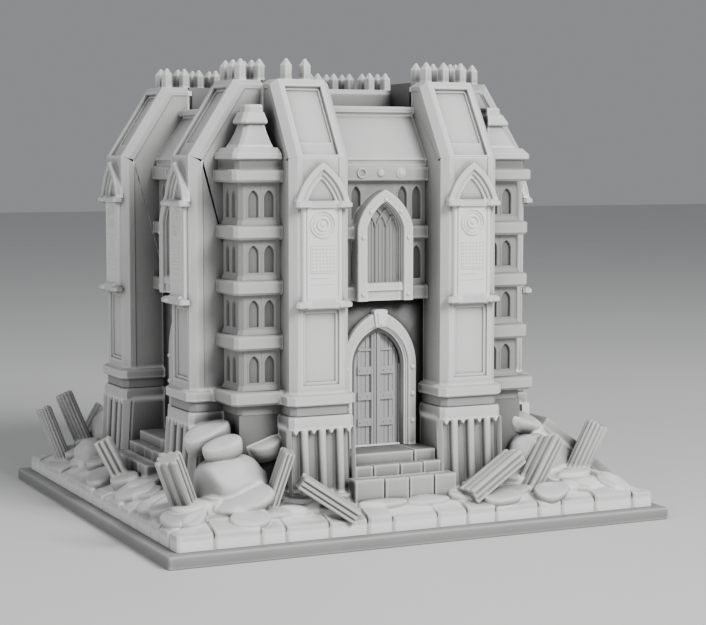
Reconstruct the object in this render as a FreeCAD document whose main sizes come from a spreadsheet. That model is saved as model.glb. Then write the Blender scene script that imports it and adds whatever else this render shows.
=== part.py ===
import FreeCAD, Part
import math
import os
import re

import Sketcher
from FreeCAD import Matrix, Placement, Rotation, Vector

# Gothic tower on a rubble-strewn base, a terrain piece for 28 to 32 mm figures.
# Row frame: origin at the middle of the base plate's underside, +X along its longer side,
# +Z up. The tower's own plan is centred on (tower_shift_x, tower_shift_y); its front is -Y.
# Every side of the tower is modelled once in a local frame that looks outward along -Y and
# is then turned about Z. "Left" and "right" of a side are as seen from outside.

DIMENSIONS = {
    # base plate and ground
    "plate_length": 200.0,
    "plate_width": 191.6,
    "plate_thick": 4.5,
    "plate_bevel": 0.8,
    "kerb_inset": 4.4,
    "kerb_depth": 9.0,
    "kerb_height": 5.5,
    "flag_overlap": 4.0,
    "ground_level": 8.0,
    # tower plan
    "tower_shift_x": -4.34,
    "tower_shift_y": 1.95,
    "core_half_x": 41.33,
    "core_half_y": 49.23,
    "bay_reach_x": 53.1,
    "bay_reach_y": 59.4,
    "fin_reach_x": 69.37,
    "fin_reach_y": 75.71,
    "fin_width": 22.28,
    "bay_setback": 16.2,
    "wall_thick": 6.0,
    # tower levels
    "floor_level": 29.7,
    "plinth_top": 45.3,
    "ring_bottom": 48.8,
    "ring_top": 53.1,
    "arcade_bottom": 84.3,
    "arcade_top": 133.5,
    "knee_level": 137.1,
    "deck_level": 155.0,
    "tower_top": 164.5,
    "deck_thick": 5.0,
    # buttress
    "slope_run": 17.5,
    "fin_chamfer": 2.7,
    "ring_overhang": 2.0,
    "neck_inset": 0.8,
    "panel_half": 7.1,
    "panel_bottom": 55.8,
    "panel_top": 82.7,
    "panel_depth": 0.9,
    "plinth_flare": 2.6,
    "plinth_side_flare": 1.4,
    "groove_width": 3.8,
    "groove_depth": 3.0,
    "groove_top": 38.0,
    "groove_pitch": 6.9,
    # plaque on a buttress
    "gable_half": 10.4,
    "gable_foot": 120.2,
    "gable_peak": 133.9,
    "gable_band": 2.6,
    "tablet_half": 5.9,
    "tablet_bottom": 86.5,
    "lintel_bottom": 118.8,
    "lintel_top": 121.4,
    "sill_bottom": 83.1,
    "medal_level": 113.0,
    "medal_radius": 4.9,
    # corner turret
    "turret_body": 15.6,
    "turret_plinth": 16.2,
    "turret_ring": 20.3,
    "turret_band": 18.5,
    "turret_crown": 19.3,
    "turret_chamfer": 2.0,
    "turret_top": 135.7,
    # door
    "door_outer_half": 15.2,
    "door_outer_peak": 80.2,
    "threshold": 0.6,
    "door_inner_half": 11.8,
    "door_inner_peak": 75.0,
    "door_rebate_half": 9.6,
    "door_rebate_peak": 72.4,
    "door_spring": 60.0,
    "door_face": 2.1,
    "passage_half": 12.5,
    "passage_top": 77.7,
    "hinge_offset": 11.3,
    "hinge_setback": 2.9,
    "pin_radius": 0.5,
    "barrel_bore": 0.55,
    "socket_radius": 0.52,
    "barrel_radius": 0.9,
    "leaf_thick": 1.8,
    "leaf_peak": 73.3,
    "leaf_edge": 9.9,
    "leaf_gap": 0.15,
    "leaf_clearance": 0.3,
    "barrel_top": 61.0,
    "strap_height": 3.0,
    "strap_reach": 7.3,
    "strap_thick": 0.8,
    "stile_width": 2.0,
    # window
    "window_half": 11.3,
    "window_spring": 110.0,
    "window_peak": 124.9,
    "window_reach": 6.6,
    "light_half": 7.1,
    "light_bottom": 90.9,
    "light_peak": 118.6,
    "light_spring": 108.0,
    "sill_height": 2.8,
    "mullion_width": 0.9,
    "stud_radius": 0.9,
    # arcade storey and bay roof
    "cornice_reach": 4.0,
    "arcade_reach": 0.7,
    "roof_eave": 2.6,
    "roof_foot": 135.9,
    "roof_head": 152.0,
    "cap_bottom": 152.8,
    "cap_top": 155.4,
    # roof lid
    "lid_half_x": 25.7,
    "lid_half_y": 32.0,
    "lid_top": 162.4,
    "lid_bevel": 1.2,
    "lid_fit": 0.3,
    "hatch_half_x": 24.3,
    "hatch_half_y": 30.6,
    # steps
    "landing_half": 17.2,
    "landing_reach": 13.6,
    "tread_depth": 4.2,
    "riser": 3.85,
    "step_growth": 0.2,
    "lower_step_half": 20.4,
    "lower_tread": 6.3,
    "plinth_clearance": 3.7,
    # roof spikes
    "spike_radius": 2.7,
    "spike_shaft": 5.0,
    "spike_tip": 2.8,
    "spike_pitch": 7.35,
}

doc = FreeCAD.newDocument("TerrainTower")
sheet = doc.addObject("Spreadsheet::Sheet", "sizes")
for row, (alias, size) in enumerate(DIMENSIONS.items(), start=1):
    sheet.set(f"A{row}", alias)
    sheet.set(f"B{row}", str(size))
    sheet.setAlias(f"B{row}", alias)
doc.recompute()

node_names = []


# ---------------------------------------------------------------- helpers

def formula(text):
    """Expression text in which every dimension name points at its spreadsheet cell."""
    def cell(word):
        return "sizes." + word.group() if word.group() in DIMENSIONS else word.group()
    return re.sub(r"[a-z_]+", cell, str(text))


def number(text):
    """The value of a formula, in mm."""
    return float(sheet.evalExpression(formula(text)))


def bind(item, **formulas):
    """Tie properties to formulas; a double underscore stands for the dot in a property path."""
    for path, text in formulas.items():
        item.setExpression(path.replace("__", "."), formula(text))
    return item


def keep(item, name):
    """Name an object as one of the finished sub-parts."""
    item.Label = name
    node_names.append(name)
    return item


def stand(item, side, outward, sideways="0"):
    """Place a local piece at a distance outward from the tower's middle, and along the side."""
    turn = side["turn"]
    cosine = round(math.cos(math.radians(turn)))
    sine = round(math.sin(math.radians(turn)))
    item.Placement = Placement(Vector(), Rotation(Vector(0, 0, 1), turn))
    return bind(
        item,
        Placement__Base__x=f"tower_shift_x + ({sideways}) * {cosine} + ({outward}) * {sine}",
        Placement__Base__y=f"tower_shift_y + ({sideways}) * {sine} - ({outward}) * {cosine}",
    )


def stand_in_plan(item, side, outward, sideways="0"):
    """As stand(), for a piece of a solid that is itself placed at the tower's middle."""
    stand(item, side, f"({outward})", sideways)
    turn = math.radians(side["turn"])
    cosine, sine = round(math.cos(turn)), round(math.sin(turn))
    return bind(
        item,
        Placement__Base__x=f"({sideways}) * {cosine} + ({outward}) * {sine}",
        Placement__Base__y=f"({sideways}) * {sine} - ({outward}) * {cosine}",
    )


def block(name, x_span, y_span, z_span):
    """Box between a low and a high formula on each axis."""
    item = doc.addObject("Part::Box", name)
    spans = (("Length", "x", x_span), ("Width", "y", y_span), ("Height", "z", z_span))
    for size, axis, (low, high) in spans:
        item.setExpression(size, formula(f"({high}) - ({low})"))
        item.setExpression(f"Placement.Base.{axis}", formula(low))
    return item


def frustum(name, z_span, low_x, low_y, high_x, high_y):
    """Four-sided block that tapers from its bottom rectangle to its top rectangle."""
    item = doc.addObject("Part::Wedge", name)
    item.Placement = Placement(Vector(), Rotation(Vector(1, 0, 0), 90))
    return bind(
        item,
        Ymin=z_span[0], Ymax=z_span[1],
        Xmin=low_x[0], Xmax=low_x[1], Zmin=f"-({low_y[1]})", Zmax=f"-({low_y[0]})",
        X2min=high_x[0], X2max=high_x[1], Z2min=f"-({high_y[1]})", Z2max=f"-({high_y[0]})",
    )


def upright(name, radius, x, y, z_span):
    """Vertical cylinder."""
    item = doc.addObject("Part::Cylinder", name)
    return bind(
        item, Radius=radius, Height=f"({z_span[1]}) - ({z_span[0]})",
        Placement__Base__x=x, Placement__Base__y=y, Placement__Base__z=z_span[0],
    )


def join(name, pieces):
    item = doc.addObject("Part::MultiFuse", name)
    item.Shapes = pieces
    return item


def group(name, pieces):
    item = doc.addObject("Part::Compound", name)
    item.Links = pieces
    return item


def cut(name, base, tool):
    item = doc.addObject("Part::Cut", name)
    item.Base = base
    item.Tool = tool
    return item


def share(name, base, tool):
    item = doc.addObject("Part::Common", name)
    item.Base = base
    item.Tool = tool
    return item


def new_sketch(body, role, offset="0"):
    """Sketch on one of the body's own origin planes, moved along that plane's normal."""
    plane = next(item for item in body.Origin.OriginFeatures if item.Role == role)
    sketch = body.newObject("Sketcher::SketchObject", body.Name + "_sketch")
    sketch.AttachmentSupport = (plane, [""])
    sketch.MapMode = "FlatFace"
    return bind(sketch, AttachmentOffset__Base__z=offset)


def pin_down(sketch, geometry, point, u, v=None):
    """Hold a sketch point at formulas measured from the sketch's origin."""
    for kind, text in (("DistanceX", u), ("DistanceY", v)):
        if text is not None:
            held = Sketcher.Constraint(kind, -1, 1, geometry, point, number(text))
            index = sketch.addConstraint(held)
            sketch.setExpression(f"Constraints[{index}]", formula(text))


def add_outline(sketch, corners, arcs=()):
    """Closed outline. arcs maps an edge's number to the height of its centre; arcs turn under 180."""
    arcs = dict(arcs)
    points = [Vector(number(u), number(v), 0) for u, v in corners]
    count = len(points)
    first = sketch.GeometryCount
    start_of, end_of = [], []
    for index, begin in enumerate(points):
        end = points[(index + 1) % count]
        forward = True
        if index in arcs:
            level = number(arcs[index])
            begin_square = begin.x ** 2 + (begin.y - level) ** 2
            end_square = end.x ** 2 + (end.y - level) ** 2
            centre = Vector((end_square - begin_square) / (2 * (end.x - begin.x)), level, 0)
            angles = [math.atan2(p.y - centre.y, p.x - centre.x) for p in (begin, end)]
            forward = (angles[1] - angles[0]) % (2 * math.pi) < math.pi
            if not forward:
                angles.reverse()
            circle = Part.Circle(centre, Vector(0, 0, 1), (begin - centre).Length)
            sketch.addGeometry(Part.ArcOfCircle(circle, *angles), False)
        else:
            sketch.addGeometry(Part.LineSegment(begin, end), False)
        start_of.append(1 if forward else 2)
        end_of.append(2 if forward else 1)
    for index, (u, v) in enumerate(corners):
        geometry, after = first + index, (index + 1) % count
        sketch.addConstraint(
            Sketcher.Constraint("Coincident", geometry, end_of[index], first + after, start_of[after]))
        pin_down(sketch, geometry, start_of[index], u, v)
        if index in arcs:
            held = Sketcher.Constraint("DistanceY", -1, 1, geometry, 3, number(arcs[index]))
            sketch.setExpression(f"Constraints[{sketch.addConstraint(held)}]", formula(arcs[index]))


def add_rectangle(sketch, u_span, v_span):
    (left, right), (low, high) = u_span, v_span
    add_outline(sketch, [(left, low), (right, low), (right, high), (left, high)])


def add_circle(sketch, u, v, radius):
    circle = Part.Circle(Vector(number(u), number(v), 0), Vector(0, 0, 1), number(radius))
    geometry = sketch.addGeometry(circle, False)
    pin_down(sketch, geometry, 3, u, v)
    index = sketch.addConstraint(Sketcher.Constraint("Radius", geometry, number(radius)))
    sketch.setExpression(f"Constraints[{index}]", formula(radius))


def pad(body, sketch, length, inward=False, centred=False):
    feature = body.newObject("PartDesign::Pad", body.Name + "_pad")
    feature.Profile = sketch
    feature.Reversed = inward
    feature.Midplane = centred
    return bind(feature, Length=length)


def pocket(body, sketch, depth, centred=False):
    feature = body.newObject("PartDesign::Pocket", body.Name + "_pocket")
    feature.Profile = sketch
    feature.Midplane = centred
    return bind(feature, Length=depth)


def arch_corners(half, bottom, spring, peak):
    """Corners of a pointed arch on straight jambs; its edges 2 and 3 are the two arcs."""
    return [(f"-({half})", bottom), (half, bottom), (half, spring), ("0", peak), (f"-({half})", spring)]


def add_arch(sketch, half, bottom, spring, peak):
    add_outline(sketch, arch_corners(half, bottom, spring, peak), {2: spring, 3: spring})


SIDES = []
for side_name, side_turn in (("front", 0), ("right", 90), ("back", 180), ("left", 270)):
    along, across = ("y", "x") if side_turn % 180 == 0 else ("x", "y")
    SIDES.append({
        "name": side_name,
        "turn": side_turn,
        "core": f"core_half_{along}",
        "bay": f"bay_reach_{along}",
        "fin": f"fin_reach_{along}",
        "corner": f"core_half_{across}",
        "bay_half": f"core_half_{across} - fin_width",
    })
HANDS = (("left", -1), ("right", 1))


# ---------------------------------------------------------------- ground

def make_base_plate():
    """Bevelled plate with the raised bed that carries the tower and the paving."""
    body = keep(doc.addObject("PartDesign::Body", "base_plate"), "base_plate")
    plate = new_sketch(body, "XY_Plane")
    add_rectangle(plate, ("-plate_length / 2", "plate_length / 2"), ("-plate_width / 2", "plate_width / 2"))
    plate_pad = pad(body, plate, "plate_thick")
    doc.recompute()
    top_edges = []
    for index, edge in enumerate(plate_pad.Shape.Edges, start=1):
        if all(abs(corner.Z - number("plate_thick")) < 1e-6 for corner in edge.Vertexes):
            top_edges.append(f"Edge{index}")
    bevel = body.newObject("PartDesign::Chamfer", "plate_bevel_edge")
    bevel.Base = (plate_pad, top_edges)
    bind(bevel, Size="plate_bevel")
    bed = new_sketch(body, "XY_Plane", "plate_thick")
    edge = "kerb_inset + kerb_depth"
    add_rectangle(
        bed,
        (f"-plate_length / 2 + {edge}", f"plate_length / 2 - ({edge})"),
        (f"-plate_width / 2 + {edge}", f"plate_width / 2 - ({edge})"),
    )
    pad(body, bed, "ground_level - plate_thick")


def make_kerb():
    """Row of blocks of uneven width round the ground, cut back where the back steps reach it."""
    blocks = []
    gap = 0.3
    for turn in range(4):
        run, reach = ("plate_length", "plate_width") if turn % 2 == 0 else ("plate_width", "plate_length")
        free_run = number(f"{run} - 2 * kerb_inset") - number("kerb_depth")
        count = 13 if turn % 2 == 0 else 16
        weights = [1 + 0.32 * math.sin(2.3 * index + turn) for index in range(count)]
        start = number(f"-{run} / 2 + kerb_inset")
        for index, weight in enumerate(weights):
            length = free_run * weight / sum(weights)
            rise = 0.5 * math.sin(1.7 * index + turn)
            item = doc.addObject("Part::Box", f"kerb_block_{turn}_{index}")
            bind(
                item, Length=f"{length - gap:.3f}", Width="kerb_depth - 0.3",
                Height=f"kerb_height + {rise:.3f}",
            )
            corner = Vector(start, -number(f"{reach} / 2 - kerb_inset"), number("plate_thick"))
            quarter = Rotation(Vector(0, 0, 1), 90 * turn)
            item.Placement = Placement(quarter.multVec(corner), quarter)
            blocks.append(item)
            start += length
    row = group("kerb_row", blocks)
    back_steps = doc.getObjectsByLabel("steps_back")[0]
    keep(cut("paving_kerb_blocks", row, back_steps), "paving_kerb_blocks")


def make_podium():
    """Foundation under the walls, with the four turret plinths and the door pin sockets."""
    blocks = [block("podium_core", ("-core_half_x", "core_half_x"), ("-core_half_y", "core_half_y"),
                    ("ground_level", "floor_level"))]
    sockets = []
    for side in SIDES:
        bay = block("podium_bay", (f"-({side['bay_half']})", side["bay_half"]),
                    ("0", f"{side['bay']} - {side['core']} + 1"), ("ground_level", "floor_level"))
        bay_holder = group("podium_bay_place", [bay])
        stand_in_plan(bay_holder, side, side["bay"])
        turret = block("podium_turret", ("0", "turret_plinth"), ("-turret_plinth", "0"),
                       ("ground_level", "plinth_top"))
        turret_holder = group("podium_turret_place", [turret])
        stand_in_plan(turret_holder, side, side["core"], side["corner"])
        blocks += [bay_holder, turret_holder]
        for _, sign in HANDS:
            socket = upright("pin_socket", "socket_radius", f"{sign} * hinge_offset", "hinge_setback",
                             ("floor_level - 1", "floor_level + 1"))
            socket_holder = group("pin_socket_place", [socket])
            stand_in_plan(socket_holder, side, side["bay"])
            sockets.append(socket_holder)
    podium = cut("podium", join("podium_mass", blocks), group("pin_sockets", sockets))
    bind(podium, Placement__Base__x="tower_shift_x", Placement__Base__y="tower_shift_y")
    keep(podium, "podium")


def make_steps(side):
    """Landing and two lower steps, each standing on the ground; the lowest widens past the plinths."""
    name = f"steps_{side['name']}"
    middle_half = "landing_half + step_growth"
    middle_reach = "landing_reach + tread_depth"
    lower_reach = f"{middle_reach} + lower_tread"
    plinth_reach = f"{side['fin']} - {side['bay']} + plinth_clearance"
    lower_top = "floor_level - 2 * riser"
    landing = block(name + "_landing", ("-landing_half", "landing_half"), ("-landing_reach", "0"),
                    ("ground_level", "floor_level"))
    middle = block(name + "_middle", (f"-({middle_half})", middle_half),
                   (f"-({middle_reach})", "-landing_reach"), ("ground_level", "floor_level - riser"))
    lower_wide = block(name + "_lower_wide", ("-lower_step_half", "lower_step_half"),
                       (f"-({lower_reach})", f"-({plinth_reach})"), ("ground_level", lower_top))
    lower_neck = block(name + "_lower_neck", (f"-({middle_half})", middle_half),
                       (f"-({plinth_reach})", f"-({middle_reach})"), ("ground_level", lower_top))
    lower = join(name + "_lower", [lower_wide, lower_neck])
    keep(stand(group(name, [landing, middle, lower]), side, side["bay"]), name)


# ---------------------------------------------------------------- walls

def make_core():
    """Four wall sections with door passages, and a roof deck with a hatch and corner posts."""
    masses = [block("core_mass", ("-core_half_x", "core_half_x"), ("-core_half_y", "core_half_y"),
                    ("floor_level", "deck_level"))]
    hollows = [
        block("core_hollow", ("-core_half_x + wall_thick", "core_half_x - wall_thick"),
              ("-core_half_y + wall_thick", "core_half_y - wall_thick"),
              ("floor_level - 1", "deck_level - deck_thick")),
        block("core_hatch", ("-hatch_half_x", "hatch_half_x"), ("-hatch_half_y", "hatch_half_y"),
              ("deck_level - deck_thick - 1", "deck_level + 1")),
    ]
    for side in SIDES:
        depth = f"{side['bay']} - {side['core']}"
        bay = group("core_bay_place", [block(
            "core_bay", (f"-({side['bay_half']})", side["bay_half"]), ("0", f"{depth} + 1"),
            ("floor_level", "arcade_bottom"))])
        passage = group("core_passage_place", [block(
            "core_passage", ("-passage_half", "passage_half"), ("-1", f"{depth} + wall_thick + 1"),
            ("floor_level - 1", "passage_top"))])
        masses.append(stand_in_plan(bay, side, side["bay"]))
        hollows.append(stand_in_plan(passage, side, side["bay"]))
    for sign_x in (-1, 1):
        for sign_y in (-1, 1):
            near = ordered(sign_x, "lid_half_x + 0.2", "core_half_x")
            wide = ordered(sign_x, "core_half_x - fin_width", "core_half_x")
            masses.append(block("core_post", wide, ordered(sign_y, "lid_half_y + 0.2", "core_half_y"),
                                ("deck_level - 1", "tower_top")))
            masses.append(block("core_post_wing", near,
                                ordered(sign_y, "core_half_y - fin_width", "lid_half_y + 0.2"),
                                ("deck_level - 1", "tower_top")))
    core = cut("core_shell", join("core_solid", masses), join("core_hollows", hollows))
    ceiling = "deck_level - deck_thick"
    inner_x, inner_y, far = "core_half_x - wall_thick", "core_half_y - wall_thick", "plate_length"
    spans = {
        "front": ((f"-{far}", far), (f"-{far}", f"-({inner_y})"), ("0", ceiling)),
        "back": ((f"-{far}", far), (inner_y, far), ("0", ceiling)),
        "right": ((inner_x, far), (f"-({inner_y})", inner_y), ("0", ceiling)),
        "left": ((f"-{far}", f"-({inner_x})"), (f"-({inner_y})", inner_y), ("0", ceiling)),
        "deck": ((f"-{far}", far), (f"-{far}", far), (ceiling, far)),
    }
    sections = [
        share(f"core_{part}", core, block(f"core_{part}_span", *span))
        for part, span in spans.items()
    ]
    walls = group("core_walls", sections)
    bind(walls, Placement__Base__x="tower_shift_x", Placement__Base__y="tower_shift_y")
    keep(walls, "core_walls")


def ordered(sign, near, far):
    """Low and high formula of a span that lies on the given side of zero."""
    return (near, far) if sign > 0 else (f"-({far})", f"-({near})")


def make_buttress(side, hand, sign):
    """Deep fin with a sloped head, base moulding, neck and two sunk panels."""
    name = f"buttress_{side['name']}_{hand}"
    body = keep(doc.addObject("PartDesign::Body", name), name)
    depth = f"{side['fin']} - {side['core']}"
    half = "fin_width / 2"
    shaft = new_sketch(body, "YZ_Plane")
    add_outline(shaft, [("0", "ring_bottom"), (depth, "ring_bottom"), (depth, "tower_top"),
                        ("slope_run", "tower_top"), ("0", "knee_level")])
    shaft_pad = pad(body, shaft, "fin_width", centred=True)
    doc.recompute()
    outer_edges = []
    for index, edge in enumerate(shaft_pad.Shape.Edges, start=1):
        ends = [corner.Point for corner in edge.Vertexes]
        on_side = all(abs(abs(end.x) - number(half)) < 1e-6 for end in ends)
        same_side = abs(ends[0].x - ends[-1].x) < 1e-6
        depths = [end.y for end in ends]
        in_front = min(depths) < 1e-6 and max(depths) < number("slope_run + 0.1")
        if on_side and same_side and in_front and abs(ends[0].z - ends[-1].z) > 1:
            outer_edges.append(f"Edge{index}")
    bevel = body.newObject("PartDesign::Chamfer", name + "_bevel")
    bevel.Base = (shaft_pad, outer_edges)
    bind(bevel, Size="fin_chamfer")

    slope_panel = new_sketch(body, "YZ_Plane")
    rise = "(tower_top - knee_level)"
    length = f"sqrt({rise} ^ 2 + slope_run ^ 2)"
    along_y, along_z = f"slope_run / {length}", f"{rise} / {length}"

    def slope_point(distance, sink):
        return (f"{distance} * {along_y} + {sink} * {along_z}",
                f"knee_level + {distance} * {along_z} - {sink} * {along_y}")

    add_outline(slope_panel, [slope_point(3, "-1"), slope_point(3, "panel_depth"),
                              slope_point(29, "panel_depth"), slope_point(29, "-1")])
    pocket(body, slope_panel, "2 * panel_half", centred=True)
    low_panel = new_sketch(body, "XZ_Plane")
    add_rectangle(low_panel, ("-panel_half", "panel_half"), ("panel_bottom", "panel_top"))
    pocket(body, low_panel, "panel_depth")

    ring = new_sketch(body, "XY_Plane", "ring_bottom")
    wide = "fin_width / 2 + ring_overhang"
    turret_line = f"{depth} - turret_ring"
    add_outline(ring, [
        (f"{-sign} * ({wide})", "-ring_overhang"), (f"{sign} * ({wide})", "-ring_overhang"),
        (f"{sign} * ({wide})", turret_line), (f"{sign} * {half}", turret_line),
        (f"{sign} * {half}", depth), (f"{-sign} * {half}", depth),
        (f"{-sign} * {half}", "bay_setback"), (f"{-sign} * ({wide})", "bay_setback"),
    ])
    pad(body, ring, "ring_top - ring_bottom")
    neck = new_sketch(body, "XY_Plane", "plinth_top")
    add_rectangle(neck, (f"-{half} + neck_inset", f"{half} - neck_inset"), ("neck_inset", depth))
    pad(body, neck, "ring_bottom - plinth_top")
    stand(body, side, side["fin"], f"{sign} * ({side['corner']} - {half})")


def make_plinth(side, hand, sign):
    """Flared, grooved block under one buttress."""
    name = f"plinth_{side['name']}_{hand}"
    depth = f"{side['fin']} - {side['core']}"
    half = "fin_width / 2"
    flare = "plinth_side_flare"
    span = ("ground_level", "plinth_top")
    front_depth = "9.6"
    front = frustum(
        name + "_front", span,
        (f"-{half} - {flare} - 0.1", f"{half} + {flare} + 0.1"), ("-plinth_flare - 0.8", front_depth),
        (f"-{half} - {flare}", f"{half} + {flare}"), ("-plinth_flare + 1.4", front_depth),
    )
    rear = block(name + "_rear", (f"-{half}", half), (front_depth, depth), span)
    grooves = []
    for index in (-1.5, -0.5, 0.5, 1.5):
        centre = f"{index} * groove_pitch"
        slot_x = (f"{centre} - groove_width / 2", f"{centre} + groove_width / 2")
        slot_y = ("-plinth_flare - 2", "-plinth_flare + groove_depth")
        slot = block(name + "_slot", slot_x, slot_y, ("ground_level - 1", "groove_top"))
        point = frustum(name + "_point", ("groove_top", "groove_top + 3"), slot_x, slot_y,
                        (f"{centre} - 0.2", f"{centre} + 0.2"), slot_y)
        grooves += [slot, point]
    plinth = cut(name, join(name + "_mass", [front, rear]), join(name + "_grooves", grooves))
    return stand(plinth, side, side["fin"], f"{sign} * ({side['corner']} - {half})")


def make_plaque(side, hand, sign):
    """Gabled memorial plate on a buttress: gable, lintel, tablet with a plain medallion, sill."""
    name = f"plaque_{side['name']}_{hand}"
    body = doc.addObject("PartDesign::Body", name)
    tablet = new_sketch(body, "XZ_Plane")
    add_rectangle(tablet, ("-tablet_half - 1.9", "tablet_half + 1.9"), ("tablet_bottom", "lintel_bottom"))
    pad(body, tablet, "0.7")
    face = new_sketch(body, "XZ_Plane")
    add_rectangle(face, ("-tablet_half", "tablet_half"), ("tablet_bottom", "lintel_bottom"))
    pad(body, face, "1.3")
    lintel = new_sketch(body, "XZ_Plane")
    add_rectangle(lintel, ("-gable_half", "gable_half"), ("lintel_bottom", "lintel_top"))
    pad(body, lintel, "2.2")
    sill = new_sketch(body, "XZ_Plane")
    add_rectangle(sill, ("-gable_half", "gable_half"), ("sill_bottom", "tablet_bottom"))
    pad(body, sill, "2.2")
    gable = new_sketch(body, "XZ_Plane")
    add_arch(gable, "gable_half", "gable_foot", "gable_foot + 0.2", "gable_peak")
    pad(body, gable, "1.6")
    niche = new_sketch(body, "XZ_Plane", "1.6")
    niche_half, niche_peak = "gable_half - gable_band", "gable_peak - gable_band - 1.4"
    add_arch(niche, niche_half, "lintel_top", "lintel_top + 0.2", niche_peak)
    pocket(body, niche, "1.1")
    medal = new_sketch(body, "XZ_Plane", "1.3")
    add_circle(medal, "0", "medal_level", "medal_radius")
    add_circle(medal, "0", "medal_level", "medal_radius - 1")
    pad(body, medal, "0.6")
    return stand(body, side, side["fin"], f"{sign} * ({side['corner']} - fin_width / 2)")


def add_corner_storey(body, size, bottom, top):
    """One storey of a turret: a square with its outer corner chamfered."""
    sketch = new_sketch(body, "XY_Plane", bottom)
    add_outline(sketch, [("0", f"-({size})"), (f"{size} - turret_chamfer", f"-({size})"),
                         (size, f"-({size}) + turret_chamfer"), (size, "0"), ("0", "0")])
    pad(body, sketch, f"({top}) - ({bottom})")


def make_turret(side, corner_name):
    """Square corner turret of four storeys between projecting bands."""
    name = f"turret_{corner_name}"
    body = keep(doc.addObject("PartDesign::Body", name), name)
    add_corner_storey(body, "turret_body", "plinth_top", "turret_top")
    add_corner_storey(body, "turret_ring", "ring_bottom", "53.9")
    for bottom, top in (("68.3", "73.8"), ("87.9", "93.2"), ("107.5", "112.7")):
        add_corner_storey(body, "turret_band", bottom, top)
    add_corner_storey(body, "turret_crown", "127.7", "132.4")
    add_corner_storey(body, "turret_crown - 1.8", "132.4", "turret_top")
    for role, flip in (("XZ_Plane", 1), ("YZ_Plane", -1)):
        niches = new_sketch(body, role, "turret_body - 0.8")
        for level in (54.9, 74.8, 94.2, 113.7):
            for centre in (4.3, 10.2):
                add_niche(niches, f"{flip * centre}", level, 1.8, 9.6)
        feature = pocket(body, niches, "2")
        feature.Reversed = True
    stand(body, side, side["core"], side["corner"])


def add_niche(sketch, centre, bottom, half, height):
    """Small pointed-arch opening."""
    spring = bottom + height - 1.5 * half
    add_outline(
        sketch,
        [(f"{centre} - {half}", f"{bottom}"), (f"{centre} + {half}", f"{bottom}"),
         (f"{centre} + {half}", f"{spring}"), (centre, f"{bottom + height}"),
         (f"{centre} - {half}", f"{spring}")],
        {2: f"{spring}", 3: f"{spring}"},
    )


def make_turret_roof(side, corner_name):
    """Stepped hipped roof of a turret."""
    name = f"turret_roof_{corner_name}"
    tiers = []
    for bottom, top, low, high in (
        ("turret_top", "139.5", "19.25", "17"), ("139.5", "147.5", "16", "12.6"),
        ("147.5", "148.3", "12.6", "12.6"), ("148.3", "152.5", "14.3", "11.4"),
        ("152.5", "155.3", "11.4", "11.4"),
    ):
        tiers.append(frustum(f"{name}_tier", (bottom, top), ("0", low), (f"-{low}", "0"),
                             ("0", high), (f"-{high}", "0")))
    keep(stand(join(name, tiers), side, side["core"], side["corner"]), name)


def make_arcade(side):
    """Upper storey of a bay: a wall between three cornices, with niches, cut out for the window."""
    name = f"arcade_{side['name']}"
    body = keep(doc.addObject("PartDesign::Body", name), name)
    half = side["bay_half"]
    depth = f"{side['bay']} - {side['core']}"
    profile = new_sketch(body, "YZ_Plane")
    wall, nose = "-arcade_reach", "-cornice_reach"
    add_outline(profile, [
        (depth, "arcade_top"), (nose, "arcade_top"), (nose, "127.9"), (wall, "127.9"),
        (wall, "111.7"), (nose, "111.7"), (nose, "106.7"), (wall, "106.7"),
        (wall, "89.7"), (nose, "89.7"), (nose, "arcade_bottom"), (depth, "arcade_bottom"),
    ])
    pad(body, profile, f"2 * ({half})", centred=True)
    niches = new_sketch(body, "XZ_Plane", "arcade_reach")
    first = number("window_half") + 2.7
    while first + 2 < number(half):
        for sign in (-1, 1):
            add_niche(niches, f"{sign * first}", 114.8, 1.6, 9.6)
            add_niche(niches, f"{sign * first}", 92.0, 1.6, 12.0)
        first += 5.9
    pocket(body, niches, "0.9")
    seat = new_sketch(body, "XZ_Plane", "cornice_reach")
    add_arch(seat, "window_half", "arcade_bottom", "window_spring", "window_peak")
    pocket(body, seat, "cornice_reach + 1.5")
    stand(body, side, side["bay"])


def make_window(side):
    """Pointed window: deep frame, sill, studs and a back panel with seven mullions."""
    name = f"window_{side['name']}"
    body = keep(doc.addObject("PartDesign::Body", name), name)
    frame = new_sketch(body, "XZ_Plane", "-1.5")
    add_arch(frame, "window_half", "arcade_bottom", "window_spring", "window_peak")
    pad(body, frame, "window_reach + 1.5")
    light = new_sketch(body, "XZ_Plane", "window_reach")
    add_arch(light, "light_half", "light_bottom", "light_spring", "light_peak")
    pocket(body, light, "window_reach - 0.4")
    mullions = new_sketch(body, "XZ_Plane", "0.4")
    for index in range(-3, 4):
        centre = f"{index} * light_half * 2 / 7"
        add_rectangle(mullions, (f"{centre} - mullion_width / 2", f"{centre} + mullion_width / 2"),
                      ("light_bottom", f"light_peak - 2 - {abs(index)} * 1.6"))
    pad(body, mullions, "1.2")
    sill = new_sketch(body, "XZ_Plane", "window_reach")
    add_rectangle(sill, ("-light_half", "light_half"), ("light_bottom - sill_height", "light_bottom"))
    pad(body, sill, "0.5")
    studs = new_sketch(body, "XZ_Plane", "window_reach")
    band = "(window_half + light_half) / 2"
    add_circle(studs, "0", "(window_peak + light_peak) / 2", "stud_radius")
    for sign in (-1, 1):
        for reach, level in ((band, "86.8"), (band, "107.5"), ("6.1", "116.9")):
            add_circle(studs, f"{sign} * {reach}", level, "stud_radius")
    pad(body, studs, "0.5")
    stand(body, side, side["bay"])


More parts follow.
